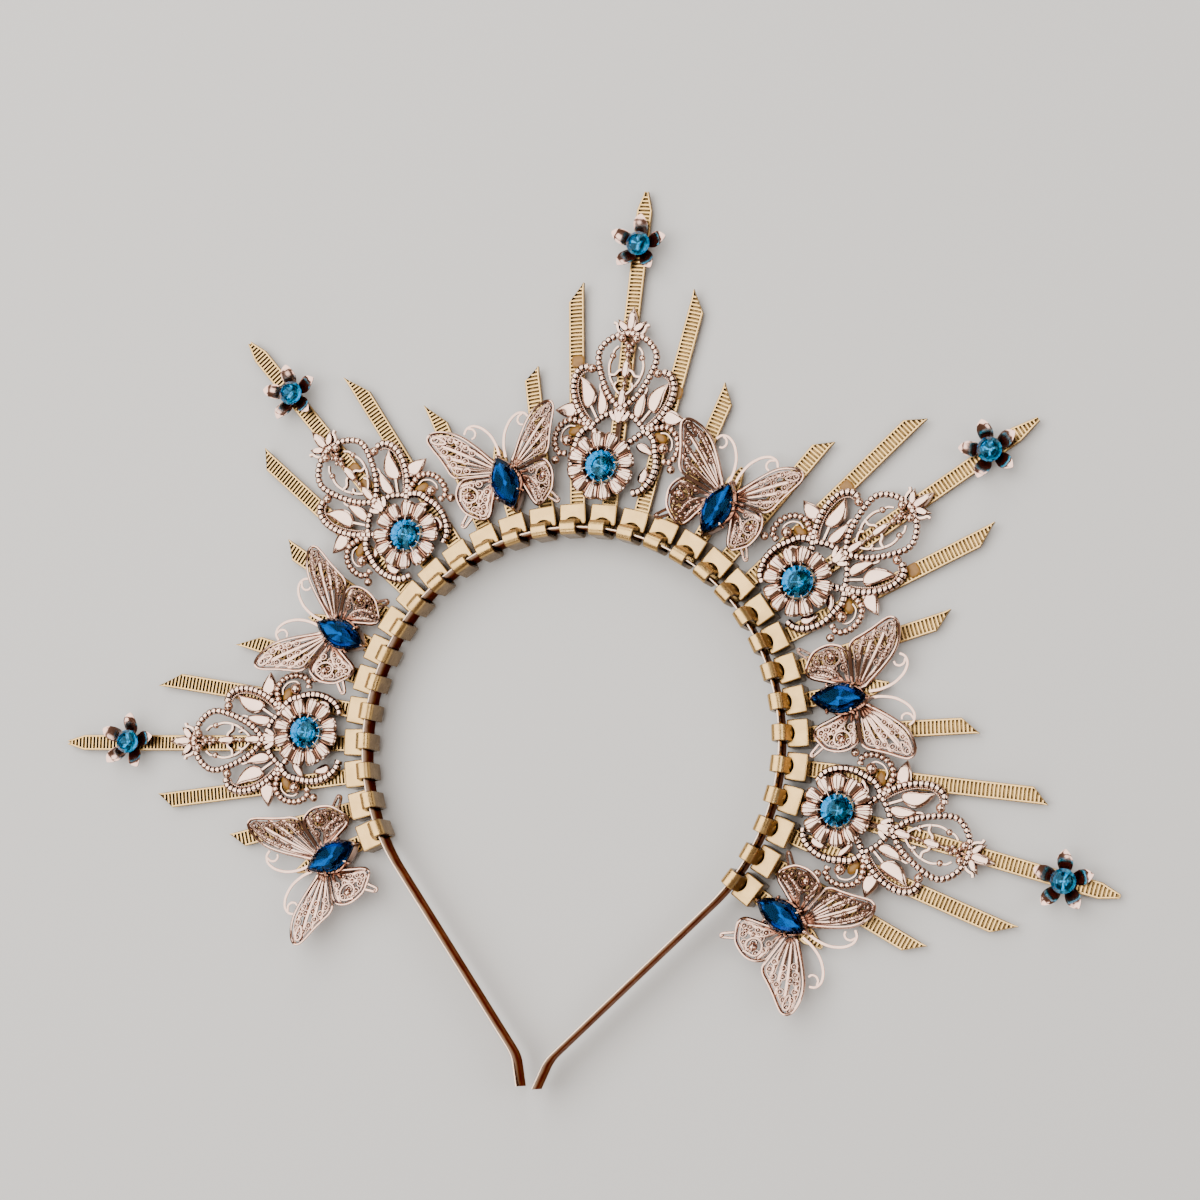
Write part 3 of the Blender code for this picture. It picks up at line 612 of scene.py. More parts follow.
# number: kind, share of its reach, lean clockwise, side of the point, and the cut's run along the
# strap as a share of its width
TIES = {
    1: ("stub", 1.00, 0.0, 0, 1.0), 2: ("short", 0.94, 1.1, 1, 0.9),
    3: ("mid", 0.95, 0.3, 1, 0.9), 4: ("long", 1.00, -0.4, 0, 1.2),
    5: ("mid", 0.975, 0.3, -1, 1.45), 6: ("short", 0.97, 0.5, -1, 1.55),
    7: ("stub", 1.00, 0.0, 0, 1.0), 8: ("short", 0.95, 0.0, 1, 1.0),
    9: ("mid", 0.995, -0.1, 1, 1.05), 10: ("long", 1.01, -0.1, 0, 1.2),
    11: ("mid", 0.985, -0.8, -1, 1.85), 12: ("short", 0.99, -0.2, -1, 1.7),
    13: ("stub", 0.98, 0.0, 0, 1.0), 14: ("short", 0.985, 0.9, 1, 0.8),
    15: ("mid", 1.01, -0.9, 1, 1.2), 16: ("long", 1.015, -1.5, 0, 1.2),
    17: ("mid", 1.015, -0.7, -1, 1.35), 18: ("short", 0.99, 0.1, -1, 1.15),
    19: ("stub", 1.00, 0.0, 0, 1.0), 20: ("short", 1.015, 1.4, 1, 1.0),
    21: ("mid", 1.02, -0.7, 1, 1.1), 22: ("long", 0.99, 0.6, 0, 1.6),
    23: ("mid", 1.005, 0.8, -1, 1.45), 24: ("short", 1.03, 1.3, -1, 1.2),
    25: ("stub", 1.00, 0.0, 0, 1.0), 26: ("short", 1.07, -0.2, 1, 1.05),
    27: ("mid", 1.02, 1.0, 1, 0.95), 28: ("long", 0.99, 2.2, 0, 1.2),
    29: ("mid", 1.025, 1.25, -1, 1.45), 30: ("short", 1.065, -0.2, -1, 1.2),
    31: ("stub", 0.98, 0.0, 0, 1.0),
}
print("ties listed:", len(TIES))

# %% [markdown]
# ### The strap
# The strap is lofted along its route, and its section holds the two rails and the channel. Where
# the snips cut it, one edge moves across and the rail on that side is gone. The teeth are small
# blocks in the channel, which is simpler than a section that changes at each tooth.


# %% Where the cut has taken the strap's edges
def cut_edges(along, reach, run, side):
    """Return a strap's left and right edges and its two rails' widths, so far along."""
    half = STRAP_WIDTH / 2
    share = min(1.0, max(0.0, (along - reach + run) / run))
    if side == 0:
        half += (TIP_FLAT / 2 - half) * share
        rail = min(RAIL, half * 0.45)
        return -half, half, rail, rail
    cut = min(2 * half - 0.12, 2 * half * share)
    cut_rail, whole_rail = RAIL if share == 0 else THIN, min(RAIL, (2 * half - cut) / 2)
    if side > 0:
        return -half + cut, half, cut_rail, whole_rail
    return -half, half - cut, whole_rail, cut_rail


print("edges halfway along a cut:", cut_edges(46, 48, 4, 1)[:2])


# %% One strap
def strap_shape(reach, run, side):
    """Return a whole strap: from the head's front over the band, and out to its cut tip."""
    front = BAND_BACK + BAND_WIDTH - BEND_INSET
    back = SLOT_LEVEL + LOOP_BEND
    route = [(HEAD_STANDOFF + STRAP_THICKNESS, HEAD_LENGTH - STRAP_THICKNESS)]
    route += [(LOOP_BEND * math.cos(turn), front + LOOP_CREST * math.sin(turn))
              for turn in np.radians(np.linspace(15, 180, 16))]
    route += [(LOOP_BEND * math.cos(turn), back + LOOP_BEND * math.sin(turn))
              for turn in np.radians(np.linspace(180, 270, 9))]
    stops = [HEAD_STANDOFF + HEAD_HEIGHT, reach - run - THIN]
    stops += list(reach - run + run * np.linspace(0, 1, 7))
    route = np.array(route + [(stop, SLOT_LEVEL) for stop in stops])
    ahead = np.gradient(route, axis=0)
    ahead /= np.linalg.norm(ahead, axis=1)[:, None]
    rings = []
    half = STRAP_THICKNESS / 2
    floor = half - CHANNEL_DEPTH
    for (outward, level), (along, rise) in zip(route, ahead):
        left, right, rail_left, rail_right = cut_edges(outward, reach, run, side)
        bevel = min(STRAP_EDGE, (right - left) * 0.1)
        inner_left = left + max(rail_left, bevel + 0.01)
        inner_right = right - max(rail_right, bevel + 0.01)
        ring = ((left, bevel - half), (left + bevel, -half), (right - bevel, -half),
                (right, bevel - half), (right, half - bevel), (right - bevel, half),
                (inner_right, half), (inner_right - RAIL_SLOPE, floor),
                (inner_left + RAIL_SLOPE, floor), (inner_left, half),
                (left + bevel, half), (left, half - bevel))
        rings.append([(across, outward - height * rise, level + height * along)
                      for across, height in ring])
    return loft(rings)


print("points in a strap:", len(strap_shape(48, 4, 1)[0]))


# %% The teeth in its channel
def teeth_shape(reach, run, side):
    """Return the cross teeth in a strap's channel, steep on both faces and level on top."""
    floor = STRAP_TOP - CHANNEL_DEPTH - 0.05
    top = STRAP_TOP - TOOTH_DROP
    teeth = []
    for along in np.arange(HEAD_STANDOFF + HEAD_HEIGHT + 0.3, reach - 0.9, TOOTH_PITCH):
        end = along + TOOTH_LENGTH
        left, right, rail_left, rail_right = cut_edges(end, reach, run, side)
        low, high = left + rail_left - THIN, right - rail_right + THIN
        if high - low < NARROWEST_TOOTH:
            continue
        crest, crest_end = along + TOOTH_FACE, along + TOOTH_CREST_END
        teeth.append(loft([
            [(low, along, floor), (high, along, floor), (high, crest, top), (low, crest, top)],
            [(low, end, floor), (high, end, floor), (high, crest_end, top),
             (low, crest_end, top)]]))
    return joined(teeth)


print("faces of the teeth on a 48 mm strap:", len(teeth_shape(48, 4, 1)[1]))

# %% [markdown]
# ### The head
# The head is a moulded box with softened edges. Where the strap starts, its front has an arched
# hollow, and the strap bends out of that. A Boolean modifier cuts the hollow once, and all 31
# heads use the same array. A saddle in the hollow carries the strap's bend.


# %% Bevel a shape and cut it with a Boolean
BEVEL_SEGMENTS = 3


def baked(source, tool, bevel):
    """Return a bmesh shape as arrays, with its edges bevelled and then a tool shape cut out."""
    objects = []
    for shape in (source, tool):
        data = bpy.data.meshes.new("scratch")
        shape.to_mesh(data)
        shape.free()
        objects.append(bpy.data.objects.new("scratch", data))
        bpy.context.scene.collection.objects.link(objects[-1])
    soft = objects[0].modifiers.new("Soft edges", "BEVEL")
    soft.width = bevel
    soft.segments = BEVEL_SEGMENTS
    cut = objects[0].modifiers.new("Cut", "BOOLEAN")
    cut.operation = "DIFFERENCE"
    cut.object = objects[1]
    graph = bpy.context.evaluated_depsgraph_get()
    mesh = bpy.data.meshes.new_from_object(objects[0].evaluated_get(graph))
    result = (np.array([vert.co[:] for vert in mesh.vertices]),
              [tuple(face.vertices) for face in mesh.polygons])
    for item in objects:
        bpy.data.objects.remove(item)
    return result


print("segments round a bevelled edge:", BEVEL_SEGMENTS)

# %% One head
HEAD_EDGE = 0.45
HOLLOW_RADII = (2.6, 2.85)
HOLLOW_DEPTH = 1.0
head_box = bmesh.new()
bmesh.ops.create_cube(head_box, size=1.0)
bmesh.ops.scale(head_box, vec=(HEAD_WIDTH, HEAD_HEIGHT, HEAD_LENGTH), verts=head_box.verts)
bmesh.ops.translate(head_box, vec=(0, HEAD_STANDOFF + HEAD_HEIGHT / 2, HEAD_LENGTH / 2),
                    verts=head_box.verts)
arch = bmesh.new()
bmesh.ops.create_cone(arch, segments=40, radius1=HOLLOW_RADII[0], radius2=HOLLOW_RADII[1],
                      depth=2 * HOLLOW_DEPTH, cap_ends=True)
bmesh.ops.translate(arch, vec=(0, HEAD_STANDOFF - 0.35, HEAD_LENGTH), verts=arch.verts)
head_shape = baked(head_box, arch, HEAD_EDGE)
# the saddle under the strap's bend: size and level of each of its arched rings
SADDLE_HALF_WIDTH, SADDLE_DEPTH, SADDLE_FRONT = 2.5, 1.7, 1.5
SADDLE_RINGS = ((1.0, 6.0), (0.97, 6.75), (0.9, 7.3), (0.78, 7.9), (0.66, 8.4))
sweep = np.linspace(0, math.pi, 15)
saddle = [np.column_stack((size * SADDLE_HALF_WIDTH * np.cos(sweep),
                           SADDLE_FRONT + size * SADDLE_DEPTH * np.sin(sweep),
                           np.full(len(sweep), level)))
          for size, level in SADDLE_RINGS]
head_shape = joined([head_shape, loft(saddle)])
print("head faces:", len(head_shape[1]))

# %% Place the ties
for number, (kind, share, lean, side, cut_share) in TIES.items():
    reach = REACH[kind] * share
    run = STRAP_WIDTH * cut_share
    layers = [(joined([strap_shape(reach, run, side), teeth_shape(reach, run, side), head_shape]),
               sprayed_nylon)]
    tie_mesh = mesh_of(f"cable tie {number}", layers, 35)
    tie_mesh.transform(seat(number, HOOP_RADIUS, turn=lean))
    add_piece(f"gold_tie_{number:02d}", tie_mesh, "tie", Matrix.Identity(4),
              f"cable_tie_{number:02d}")
print("the last tie has", len(tie_mesh.polygons), "faces")

# %% [markdown]
# ## The pierced plates
# Each plate is one casting, but it was modelled from wire: a beaded pear with a small figure in
# it, two loops with leaves, two spirals, and thick arcs below. It mirrors left to right, so only
# its right half is drawn, from measured points, and then copied. A flower is soldered on in front.
# The points are across and along from the flower's middle, in millimetres.

# %% Lines of the beaded strands
pear = ((0, 36.9), (4.6, 35.5), (7.7, 32.6), (8.5, 29.6), (7.4, 25.5), (5.6, 21.5), (3.4, 18.2),
        (0, 15.2), (-4.6, 12.7), (-7.8, 9.8))
side_loop = ((10.8, 26.6), (13.4, 25.6), (14.7, 22.6), (14.4, 19), (13, 15.5), (10.9, 12.4),
             (8, 9.5), (5.2, 7.0), (2.4, 4.6))
loop_lining = ((11.0, 25.3), (12.6, 24.4), (13.5, 22.2), (13.2, 19.2), (11.9, 16.1), (9.9, 13.2),
               (7.2, 10.4))
spiral = ((8.2, 11.4), (9.6, 10.2), (12, 10.8), (14.6, 10.9), (17, 9.1), (18.1, 6.0), (17.6, 2.9),
          (16.1, 1.3), (14.2, 1.4))
spiral_heart = ((12.6, 9.3), (14.4, 9.2), (16.0, 7.6), (16.3, 5.4), (15.4, 4.1))
lower_arc = ((8.6, 9.4), (10.9, 7.0), (11.7, 4), (12.3, 1), (12.1, -2), (11, -5), (9.1, -7.3),
             (6.6, -8.3))
strand_lines = (pear, side_loop, loop_lining, spiral, lower_arc)
print("points that a strand passes through:", [len(line) for line in strand_lines])

# %% The openwork
WIRE_LEVEL = 0.75
openwork = [
    # strands: radius, pitch, squareness and groove of the beads, level of the middle
    beaded(pear, 0.98, 1.5, 5, 0.5, WIRE_LEVEL + 0.15),
    beaded(side_loop, 1.05, 1.5, 6, 0.5, WIRE_LEVEL + 0.2),
    beaded(loop_lining, 0.34, 0.6, 2, 0.4, WIRE_LEVEL),
    beaded(spiral, 0.98, 1.5, 4, 0.5, WIRE_LEVEL + 0.1),
    flat_wire(spiral_heart, 0.55, 0.8),
    beaded(lower_arc, 1.15, 1.45, 7, 0.45, WIRE_LEVEL + 0.25),
    # leaves, each from its base to its tip, and the stalks of those in the side loops
    leaf((12.4, 14.6), (19.3, 13.4), 4.5, 1.3, bend=1.6),
    leaf((9.2, 14.8), (13.2, 23.6), 4.7, 1.5, bend=-4.5),
    flat_wire(((6.3, 11.6), (7.6, 13.6), (9.6, 16.6)), 0.9, 1.0),
    leaf((5.2, 12.8), (6.9, 21.0), 3.5, 1.4, bend=-2.0),
    flat_wire(((6.6, 20.0), (6.9, 21.4), (6.0, 22.4)), 0.7, 0.9),
    leaf((8.5, -5.2), (9.7, -0.2), 3.2, 1.3, bend=1.0),
    leaf((6.0, 5.4), (11.6, 2.8), 2.8, 1.2, bend=-0.8),
    # balls that end the strands and hide where they were soldered
    ball(17.0, -0.8, 1.25), ball(14.1, 4.9, 1.65, 1.8), ball(9.7, 25.9, 1.35, 1.6),
    ball(2.1, 35.1, 1.25, 1.7),
    ball(10.0, 11.6, 0.8), ball(12.9, 12.9, 0.8), ball(13.0, 10.6, 0.6), ball(8.0, 8.9, 0.8),
    wire(((8.0, 25.6), (9.0, 25.9), (10.8, 26.3)), 0.5, WIRE_LEVEL),
    # the small figure in the pear: arms, legs and the balls at their ends
    flat_wire(((4.3, 30), (4.95, 28), (4.9, 26), (4.2, 23.6), (3.2, 22)), 0.8, 1.0),
    flat_wire(((4.3, 30), (4.1, 31.6), (3.0, 32.9)), 0.7, 0.9),
    flat_wire(((0.4, 26.2), (1.8, 26.0), (3.0, 24.7), (4.8, 24.6)), 0.9, 1.2),
    flat_wire(((0.3, 18.9), (1.7, 20.0), (2.7, 21.4), (2.2, 22.6)), 0.8, 1.2),
    ball(4.3, 30, 0.95), ball(3.2, 22, 0.75), ball(0.95, 34.0, 0.7), ball(0.9, 31.9, 0.7),
    # the small crown on the pear's tip, and the fan of leaves at its foot
    leaf((0.7, 37.6), (4.2, 40.6), 2.2, 1.6, 0.3, bend=1.0),
    flat_wire(((0.8, 38.2), (1.8, 36.8), (3.2, 36.8), (4.0, 38.0), (4.3, 39.1), (5.2, 39.5)),
              1.0, 1.1),
    leaf((0.7, 11.6), (3.4, 14.6), 1.7, 1.3, 0.5), leaf((0.2, 12.0), (1.6, 15.8), 1.5, 1.4, 0.6),
]
# what lies on the plate's own middle line and isn't mirrored
centre_work = [
    leaf((0, 37.4), (0, 44.3), 3.2, 1.9, 0.3), leaf((0, 24.0), (0, 30.2), 2.6, 1.6, 0.3),
    leaf((0, 15.8), (0, 22.0), 2.7, 1.6, 0.3), leaf((0, 10.8), (0, 15.6), 2.2, 1.6, 0.6),
    ball(0, 33.0, 0.95), ball(0, 30.6, 0.95), ball(0, 37.0, 0.8, 1.2), ball(0, 22.4, 0.8),
    wire(((0, 36.2), (0, 33.0), (0, 27.0), (0, 21.0), (0, 16.0)), 0.4, WIRE_LEVEL),
    wire(((0, 12.5), (0, 9.0), (0, 4.0)), 0.8, WIRE_LEVEL),
]
openwork_shape = joined([both_sides(joined(openwork))] + centre_work)
openwork_mesh = mesh_of("openwork", [(openwork_shape, plated_zinc)])
print("openwork faces:", len(openwork_mesh.polygons))

# %% [markdown]
# ### The rosette and its stone
# The flower is a stamping of six petals, each with two lobes, round a deep bowl. A polar grid
# suits it: for each direction the rim's radius is a formula, and a few stations from the middle
# over the rim and back beneath give the section. Thin prongs cross the bowl and hold the stone.

# %% A skin of revolution whose stations may wave
STEPS = 288
around = np.linspace(0, math.tau, STEPS, endpoint=False)


def polar(stations):
    """Return the skin over (radius, height) stations, each a number or one for each direction."""
    rings = []
    for radius, height in stations:
        radius = np.broadcast_to(radius, STEPS)
        rings.append(np.column_stack((radius * np.sin(around), radius * np.cos(around),
                                      np.broadcast_to(height, STEPS))))
    return loft(rings)


print("directions round a flower:", STEPS)

# %% The rosette
PETALS = 6
PETAL_TIP, PETAL_ROOT = 9.75, 5.0
LOBE_DIP, GAP_DEPTH = 0.55, 2.3
PLEAT_HEIGHT, CREASE_DEPTH = 0.95, 0.2
# how far out along a petal, and how high there
PETAL_RISE = ((0.0, 3.0), (0.06, 3.35), (0.2, 3.52), (0.4, 3.58), (0.65, 3.56), (0.85, 3.45),
              (0.95, 3.32), (1.0, 3.1))
place_in_petal = np.abs((around / math.tau * PETALS + 0.5) % 1 * 2 - 1)
lobe = np.abs(np.sin(around * PETALS))
rim = PETAL_TIP - LOBE_DIP * (1 - lobe) ** 2 - GAP_DEPTH * place_in_petal ** 14
pleat = PLEAT_HEIGHT * lobe ** 0.62 - CREASE_DEPTH * np.exp(-((1 - lobe) / 0.03) ** 2)
bowl = [(0.05, 0.9), (3.4, 0.9), (4.4, 1.3), (4.7, 1.5), (4.9, 2.4)]
petals = [(PETAL_ROOT + (rim - PETAL_ROOT) * share, height + pleat - 0.5)
          for share, height in PETAL_RISE]
underside = [(rim - 0.02, 2.4 + pleat * 0.5), (rim - 0.5, 2.5), (6.6, 1.9), (5.7, 0.4),
             (5.0, 0.0), (0.05, 0.0)]
PRONGS, PRONG_RADIUS = 12, 0.13
prong_line = curve_through(((0, 6.3, 3.5), (0, 5.3, 3.85), (0, 4.6, 4.1), (0, 4.1, 4.25)), 4)
prong_shape = swept(prong_line, circle(PRONG_RADIUS, 6))
prongs = [moved(prong_shape, turn=(order + 0.5) * 360 / PRONGS) for order in range(PRONGS)]
rosette_shape = joined([polar(bowl + petals + underside)] + prongs)
rosette_mesh = mesh_of("rosette", [(rosette_shape, plated_petals)])
print("rosette faces:", len(rosette_mesh.polygons))

# %% [markdown]
# ### Cut stones
# A cutter works level by level: the flat table, the crown's facets, the girdle and the pavilion
# down to the point. So a stone is a loft over a few rings of points, kept flat at every edge. What
# lies below the girdle gets the foil.

# %% Cut stones
FOIL_MARGIN = 0.02


def cut_stone(rings, glass, foil, name):
    """Return a faceted stone from rings of points, top first; below the girdle it is foiled."""
    count, girdle_level = len(rings[0]), rings[len(rings) // 2][0][2]
    points, skin = loft(rings)
    *sides, top, bottom = skin
    stone = mesh_of(name, [((points, [top[::-1]] + sides + [bottom]), glass)], sharp=1)
    stone.materials.append(foil)
    for face in stone.polygons:
        face.material_index = int(face.center.z / MM < girdle_level - FOIL_MARGIN)
    print(name, "facets:", len(stone.polygons), "in", count, "directions")
    return stone


def ring_of(outline, level, size=1.0):
    """Return an outline's points at a level and size."""
    return [(across * size, along * size, level) for across, along in outline]


def cut_rings(outline, cuts):
    """Return a stone's rings from (level, size) pairs, top first."""
    return [ring_of(outline, level, size) for level, size in cuts]


print("foil starts below the girdle by, in mm:", FOIL_MARGIN)

# %% The round stone
ROUND_STONE_RADIUS = 4.4
turns = np.linspace(0, math.tau, 16, endpoint=False)
disc = [(math.sin(turn) * ROUND_STONE_RADIUS, math.cos(turn) * ROUND_STONE_RADIUS)
        for turn in turns]
brilliant = cut_rings(disc, ((5.05, 0.36), (4.5, 0.7), (3.6, 1), (3.3, 1), (2.5, 0.6),
                             (1.2, 0.05)))
round_stone_mesh = cut_stone(brilliant, teal_glass, teal_foil, "round stone")

# %% Place the plates
FLOWER_RADIUS = 9.3
# tie: outward and sideways shift of the rosette, turn, and the openwork's own two shifts, all
# shifts as shares of the rosette's radius
PLATES = {
    4: (0.24, 0.28, -1.9, -0.12, -0.15), 10: (0.13, 0.09, -3.0, -0.04, -0.06),
    16: (0.075, -0.33, -0.5, 0.18, 0.29), 22: (0.0, -0.015, 1.2, -0.035, 0.055),
    28: (0.0, -0.015, 3.7, 0.03, 0.075),
}
HEAD_FACE = HOOP_RADIUS + HEAD_STANDOFF + HEAD_HEIGHT
CLEARANCE = 0.3
LOBE_DEPTH = 0.045
FLOWER_SEAT = HEAD_FACE + CLEARANCE + FLOWER_RADIUS * (1 + LOBE_DEPTH)
FLOWER_BASE = 0.6
ORNAMENT_LEVEL = STRAP_TOP + CLEARANCE
# the glue that came out beside each side curl
BLOB_SIZE, BLOB_PLACE, BLOB_TURN = (2.2, 1.35, 0.55), (12.5, 8.0, 0.5), 20
blob = moved((BALL_POINTS * BLOB_SIZE, BALL_FACES), BLOB_PLACE, BLOB_TURN)
glue_mesh = mesh_of("glue", [(both_sides(blob), glue)])
for order, (number, (out, shift, turn, wire_out, wire_shift)) in enumerate(PLATES.items(), 1):
    place = seat(number, FLOWER_SEAT + out * FLOWER_RADIUS, shift * FLOWER_RADIUS, turn,
                 ORNAMENT_LEVEL)
    slip = Matrix.Translation(Vector((wire_shift, wire_out, 0)) * FLOWER_RADIUS * MM)
    lift = Matrix.Translation((0, 0, FLOWER_BASE * MM))
    add_piece(f"openwork_{order}", openwork_mesh, "casting", place @ slip,
              f"filigree_plate_{order}")
    add_piece(f"rosette_{order}", rosette_mesh, "casting", place @ lift)
    add_piece(f"teal_stone_{order}", round_stone_mesh, "round_stone", place @ lift,
              f"round_stone_{order}")
    add_piece(f"glue_{order}", glue_mesh, None, place @ slip)
print("plates placed:", len(PLATES))

# %% [markdown]
# ### Glue on the straps
# Where a casting was pressed on, glue came out over the strap and set as a flat patch. A ball
# whose coordinates are raised to a power below one is a pillow, which is the shape of such a patch.

# %% Glue patches
SMEAR_SIZE = (1.95, 1.85, 0.28)
SMEAR_SQUARENESS = 0.6
# tie, distance from the hoop's centre and sideways shift of each patch
SMEARS = ((3, 92.0, 0.2), (9, 95.4, 0.2), (9, 99.8, 0.4), (10, 99.6, 0.4), (10, 105.2, 0.4),
          (15, 108.5, -0.3), (17, 102.0, 0.3), (21, 103.5, -0.2), (23, 105.6, 0.3),
          (29, 88.0, 0.0))
pillow = np.sign(BALL_POINTS) * np.abs(BALL_POINTS) ** SMEAR_SQUARENESS * SMEAR_SIZE
smear_mesh = mesh_of("glue smear", [((pillow, BALL_FACES), glue)])
for order, (number, out, shift) in enumerate(SMEARS, 1):
    add_piece(f"glue_smear_{order:02d}", smear_mesh, None,
              seat(number, out, shift, level=STRAP_TOP - 0.02))
print("glue patches:", len(SMEARS))

# %% [markdown]
# ## The small flowers
# Near the tip of each long ray sits a stamped flower with five narrow, pointed petals. Each is
# cupped, so that it mirrors the dark room, and its tip bends back and catches the light. One
# petal is lofted as a thin curved sheet with its own back, and turned five times round the cup.

# %% One petal of a small flower
SMALL_FLOWER_RADIUS = 8.3
PETAL_START = 2.4
PETAL_HALF_WIDTH, PETAL_SWELL, WIDEST_AT = 1.3, 0.8, 0.45
# the taper is a little longer than the rest of the petal, so that the tip isn't quite a point
TAPER_LENGTH, TAPER_POWER = 0.56, 0.75
PETAL_LOW, PETAL_CLIMB = 0.7, 2.7
CLIMB_START, CLIMB_LENGTH = 0.1, 0.76
TIP_BEND_AT, TIP_DROP = 0.86, 0.6
CUP_DEPTH, CUP_SIDES, CUP_FADE = 0.42, 0.8, 0.6
SHEET = 0.35
across_shares = np.linspace(-1, 1, 13)
petal_rings = []
for share in np.linspace(0, 1, 22):
    radius = PETAL_START + (SMALL_FLOWER_RADIUS - PETAL_START) * share
    half = PETAL_HALF_WIDTH + PETAL_SWELL * math.sin(math.pi / 2 * min(1, share / WIDEST_AT))
    half *= math.cos(math.pi / 2 * max(0, share - WIDEST_AT) / TAPER_LENGTH) ** TAPER_POWER
    climb = min(1, max(0, share - CLIMB_START) / CLIMB_LENGTH)
    top = PETAL_LOW + PETAL_CLIMB * (3 * climb ** 2 - 2 * climb ** 3)
    top -= TIP_DROP * max(0, share - TIP_BEND_AT)
    cup = CUP_DEPTH * half * np.minimum(np.abs(across_shares), CUP_SIDES) ** 2
    cup *= 1 - CUP_FADE * climb
    front = np.column_stack((across_shares * half, np.full(len(cup), radius), top + cup))
    rear = front[::-1] - (0, 0, SHEET)
    petal_rings.append(np.vstack((front, rear)))
one_petal = loft(petal_rings)
print("petal faces:", len(one_petal[1]))

# %% The whole small flower and its stone
SMALL_PETALS = 5
SMALL_STONE_RADIUS = 3.4
cup_stations = [(0.05, 0.5), (2.6, 0.9), (2.9, 1.6), (3.0, 2.2), (3.1, 2.2), (3.1, 1.2),
                (2.6, 0.1), (0.05, 0.0)]
small_flower_shape = joined([polar(cup_stations)] + [
    moved(one_petal, turn=360 / SMALL_PETALS * step) for step in range(SMALL_PETALS)])
small_flower_mesh = mesh_of("small flower", [(small_flower_shape, plated_brass)])
small_disc = [(across / ROUND_STONE_RADIUS * SMALL_STONE_RADIUS,
               along / ROUND_STONE_RADIUS * SMALL_STONE_RADIUS) for across, along in disc]
small_cut = cut_rings(small_disc, ((4.2, 0.4), (3.75, 0.72), (2.7, 1), (2.4, 1), (1.7, 0.6),
                                   (1.0, 0.06)))
small_stone_mesh = cut_stone(small_cut, teal_glass, teal_foil, "small stone")

# %% Place the small flowers
# tie: outward and sideways shift as shares of the flower's radius, and turn
SMALL_FLOWERS = {4: (-0.35, -0.05, 25), 10: (-0.40, 0.06, 30), 16: (0.40, -0.24, 0),
                 22: (0.16, 0.08, 2), 28: (0.19, 0.41, 46)}
SMALL_FLOWER_SETBACK = 17.5
SMALL_FLOWER_SEAT = HOOP_RADIUS + REACH["long"] - SMALL_FLOWER_SETBACK
for order, (number, (out, shift, turn)) in enumerate(SMALL_FLOWERS.items(), 1):
    place = seat(number, SMALL_FLOWER_SEAT + out * SMALL_FLOWER_RADIUS,
                 shift * SMALL_FLOWER_RADIUS, turn, ORNAMENT_LEVEL)
    add_piece(f"blossom_{order}", small_flower_mesh, "flower", place, f"small_flower_{order}")
    add_piece(f"blossom_stone_{order}", small_stone_mesh, "round_stone", place)
print("small flowers placed:", order)

# %% [markdown]
# ## The butterflies
# A butterfly is one thin casting: edge wires, ribs, and rows of rings and dots between them, like
# lace. The wings rise by 20 degrees from the body, so each half is drawn flat and then lifted in
# proportion to its distance from the middle. A boat-shaped stone in a rimmed setting is the body.
# The points are across and along from the stone's middle, for the right half of the butterfly.

# %% Lines of the right wings
forewing = ((2.2, 6.0), (4.2, 9.2), (7.2, 13.2), (10.2, 16.4), (13.2, 18.2), (16.4, 19.0),
            (18.3, 18.6), (19.0, 17.1), (18.4, 15.1), (16.8, 11.7), (15.6, 8.7), (14.7, 6.3),
            (13.3, 4.9), (11.0, 4.5), (6.4, 4.0), (3.2, 3.8))
hindwing = ((3.2, 3.4), (6.2, 3.7), (11.0, 4.0), (13.0, 3.0), (14.1, 0.9), (14.3, -1.3),
            (13.7, -3.8), (12.7, -5.6), (10.7, -7.2), (8.7, -8.3), (7.3, -7.9), (6.3, -6.4),
            (5.5, -4.2), (4.6, -1.8), (3.8, 0.7))
fore_ribs = (((2.6, 5.8), (7.4, 11.6), (13.0, 16.4), (17.6, 18.4)),
             ((2.8, 5.4), (8.2, 9.8), (13.6, 13.8), (18.2, 16.4)),
             ((3.0, 5.0), (8.8, 8.2), (13.4, 10.8), (17.2, 12.8)),
             ((3.2, 4.6), (9.0, 6.4), (13.0, 8.0), (15.6, 9.4)))
hind_ribs = (((3.6, 2.6), (7.4, 2.4), (10.8, 2.6), (13.4, 2.2)),
             ((3.8, 1.6), (6.6, 0.0), (8.6, -2.6), (9.2, -7.6)),
             ((3.8, 1.0), (5.6, -1.4), (6.8, -4.2), (7.6, -7.4)))
swirl = ((13.6, -2.0), (12.8, 1.2), (10.6, 1.6), (8.9, -0.1), (9.4, -2.3), (11.6, -2.9),
         (12.7, -1.4), (11.9, -0.2))
tail = ((12.4, -5.6), (14.4, -8.4), (14.6, -9.2), (13.8, -9.3), (11.6, -7.2))
antenna = ((0.9, 7.8), (1.0, 11.0), (2.0, 14.6), (3.9, 17.4), (5.8, 18.8), (7.4, 19.2),
           (8.9, 18.7), (9.8, 17.4))
curl = ((8.2, 18.8), (7.0, 18.2), (6.5, 17.0), (7.0, 15.9), (7.9, 15.6))
teardrop = ((14.4, 15.4), (16.0, 17.2), (17.6, 17.6), (18.0, 16.6), (16.8, 15.6))
print("points round the two wings:", len(forewing), "and", len(hindwing))


# %% Tapered wires and insets
def tapered(knots, thick, thin, level):
    """Return a cast wire with a flattened top that is thinner at its end."""
    path = curve_through(knots, 6) + (0, 0, level)
    section = circle(1.0, 10) * (1.0, 0.8)
    section[:, 1] = np.minimum(section[:, 1], 0.5)
    return swept(path, section, np.linspace(thick, thin, len(path)))


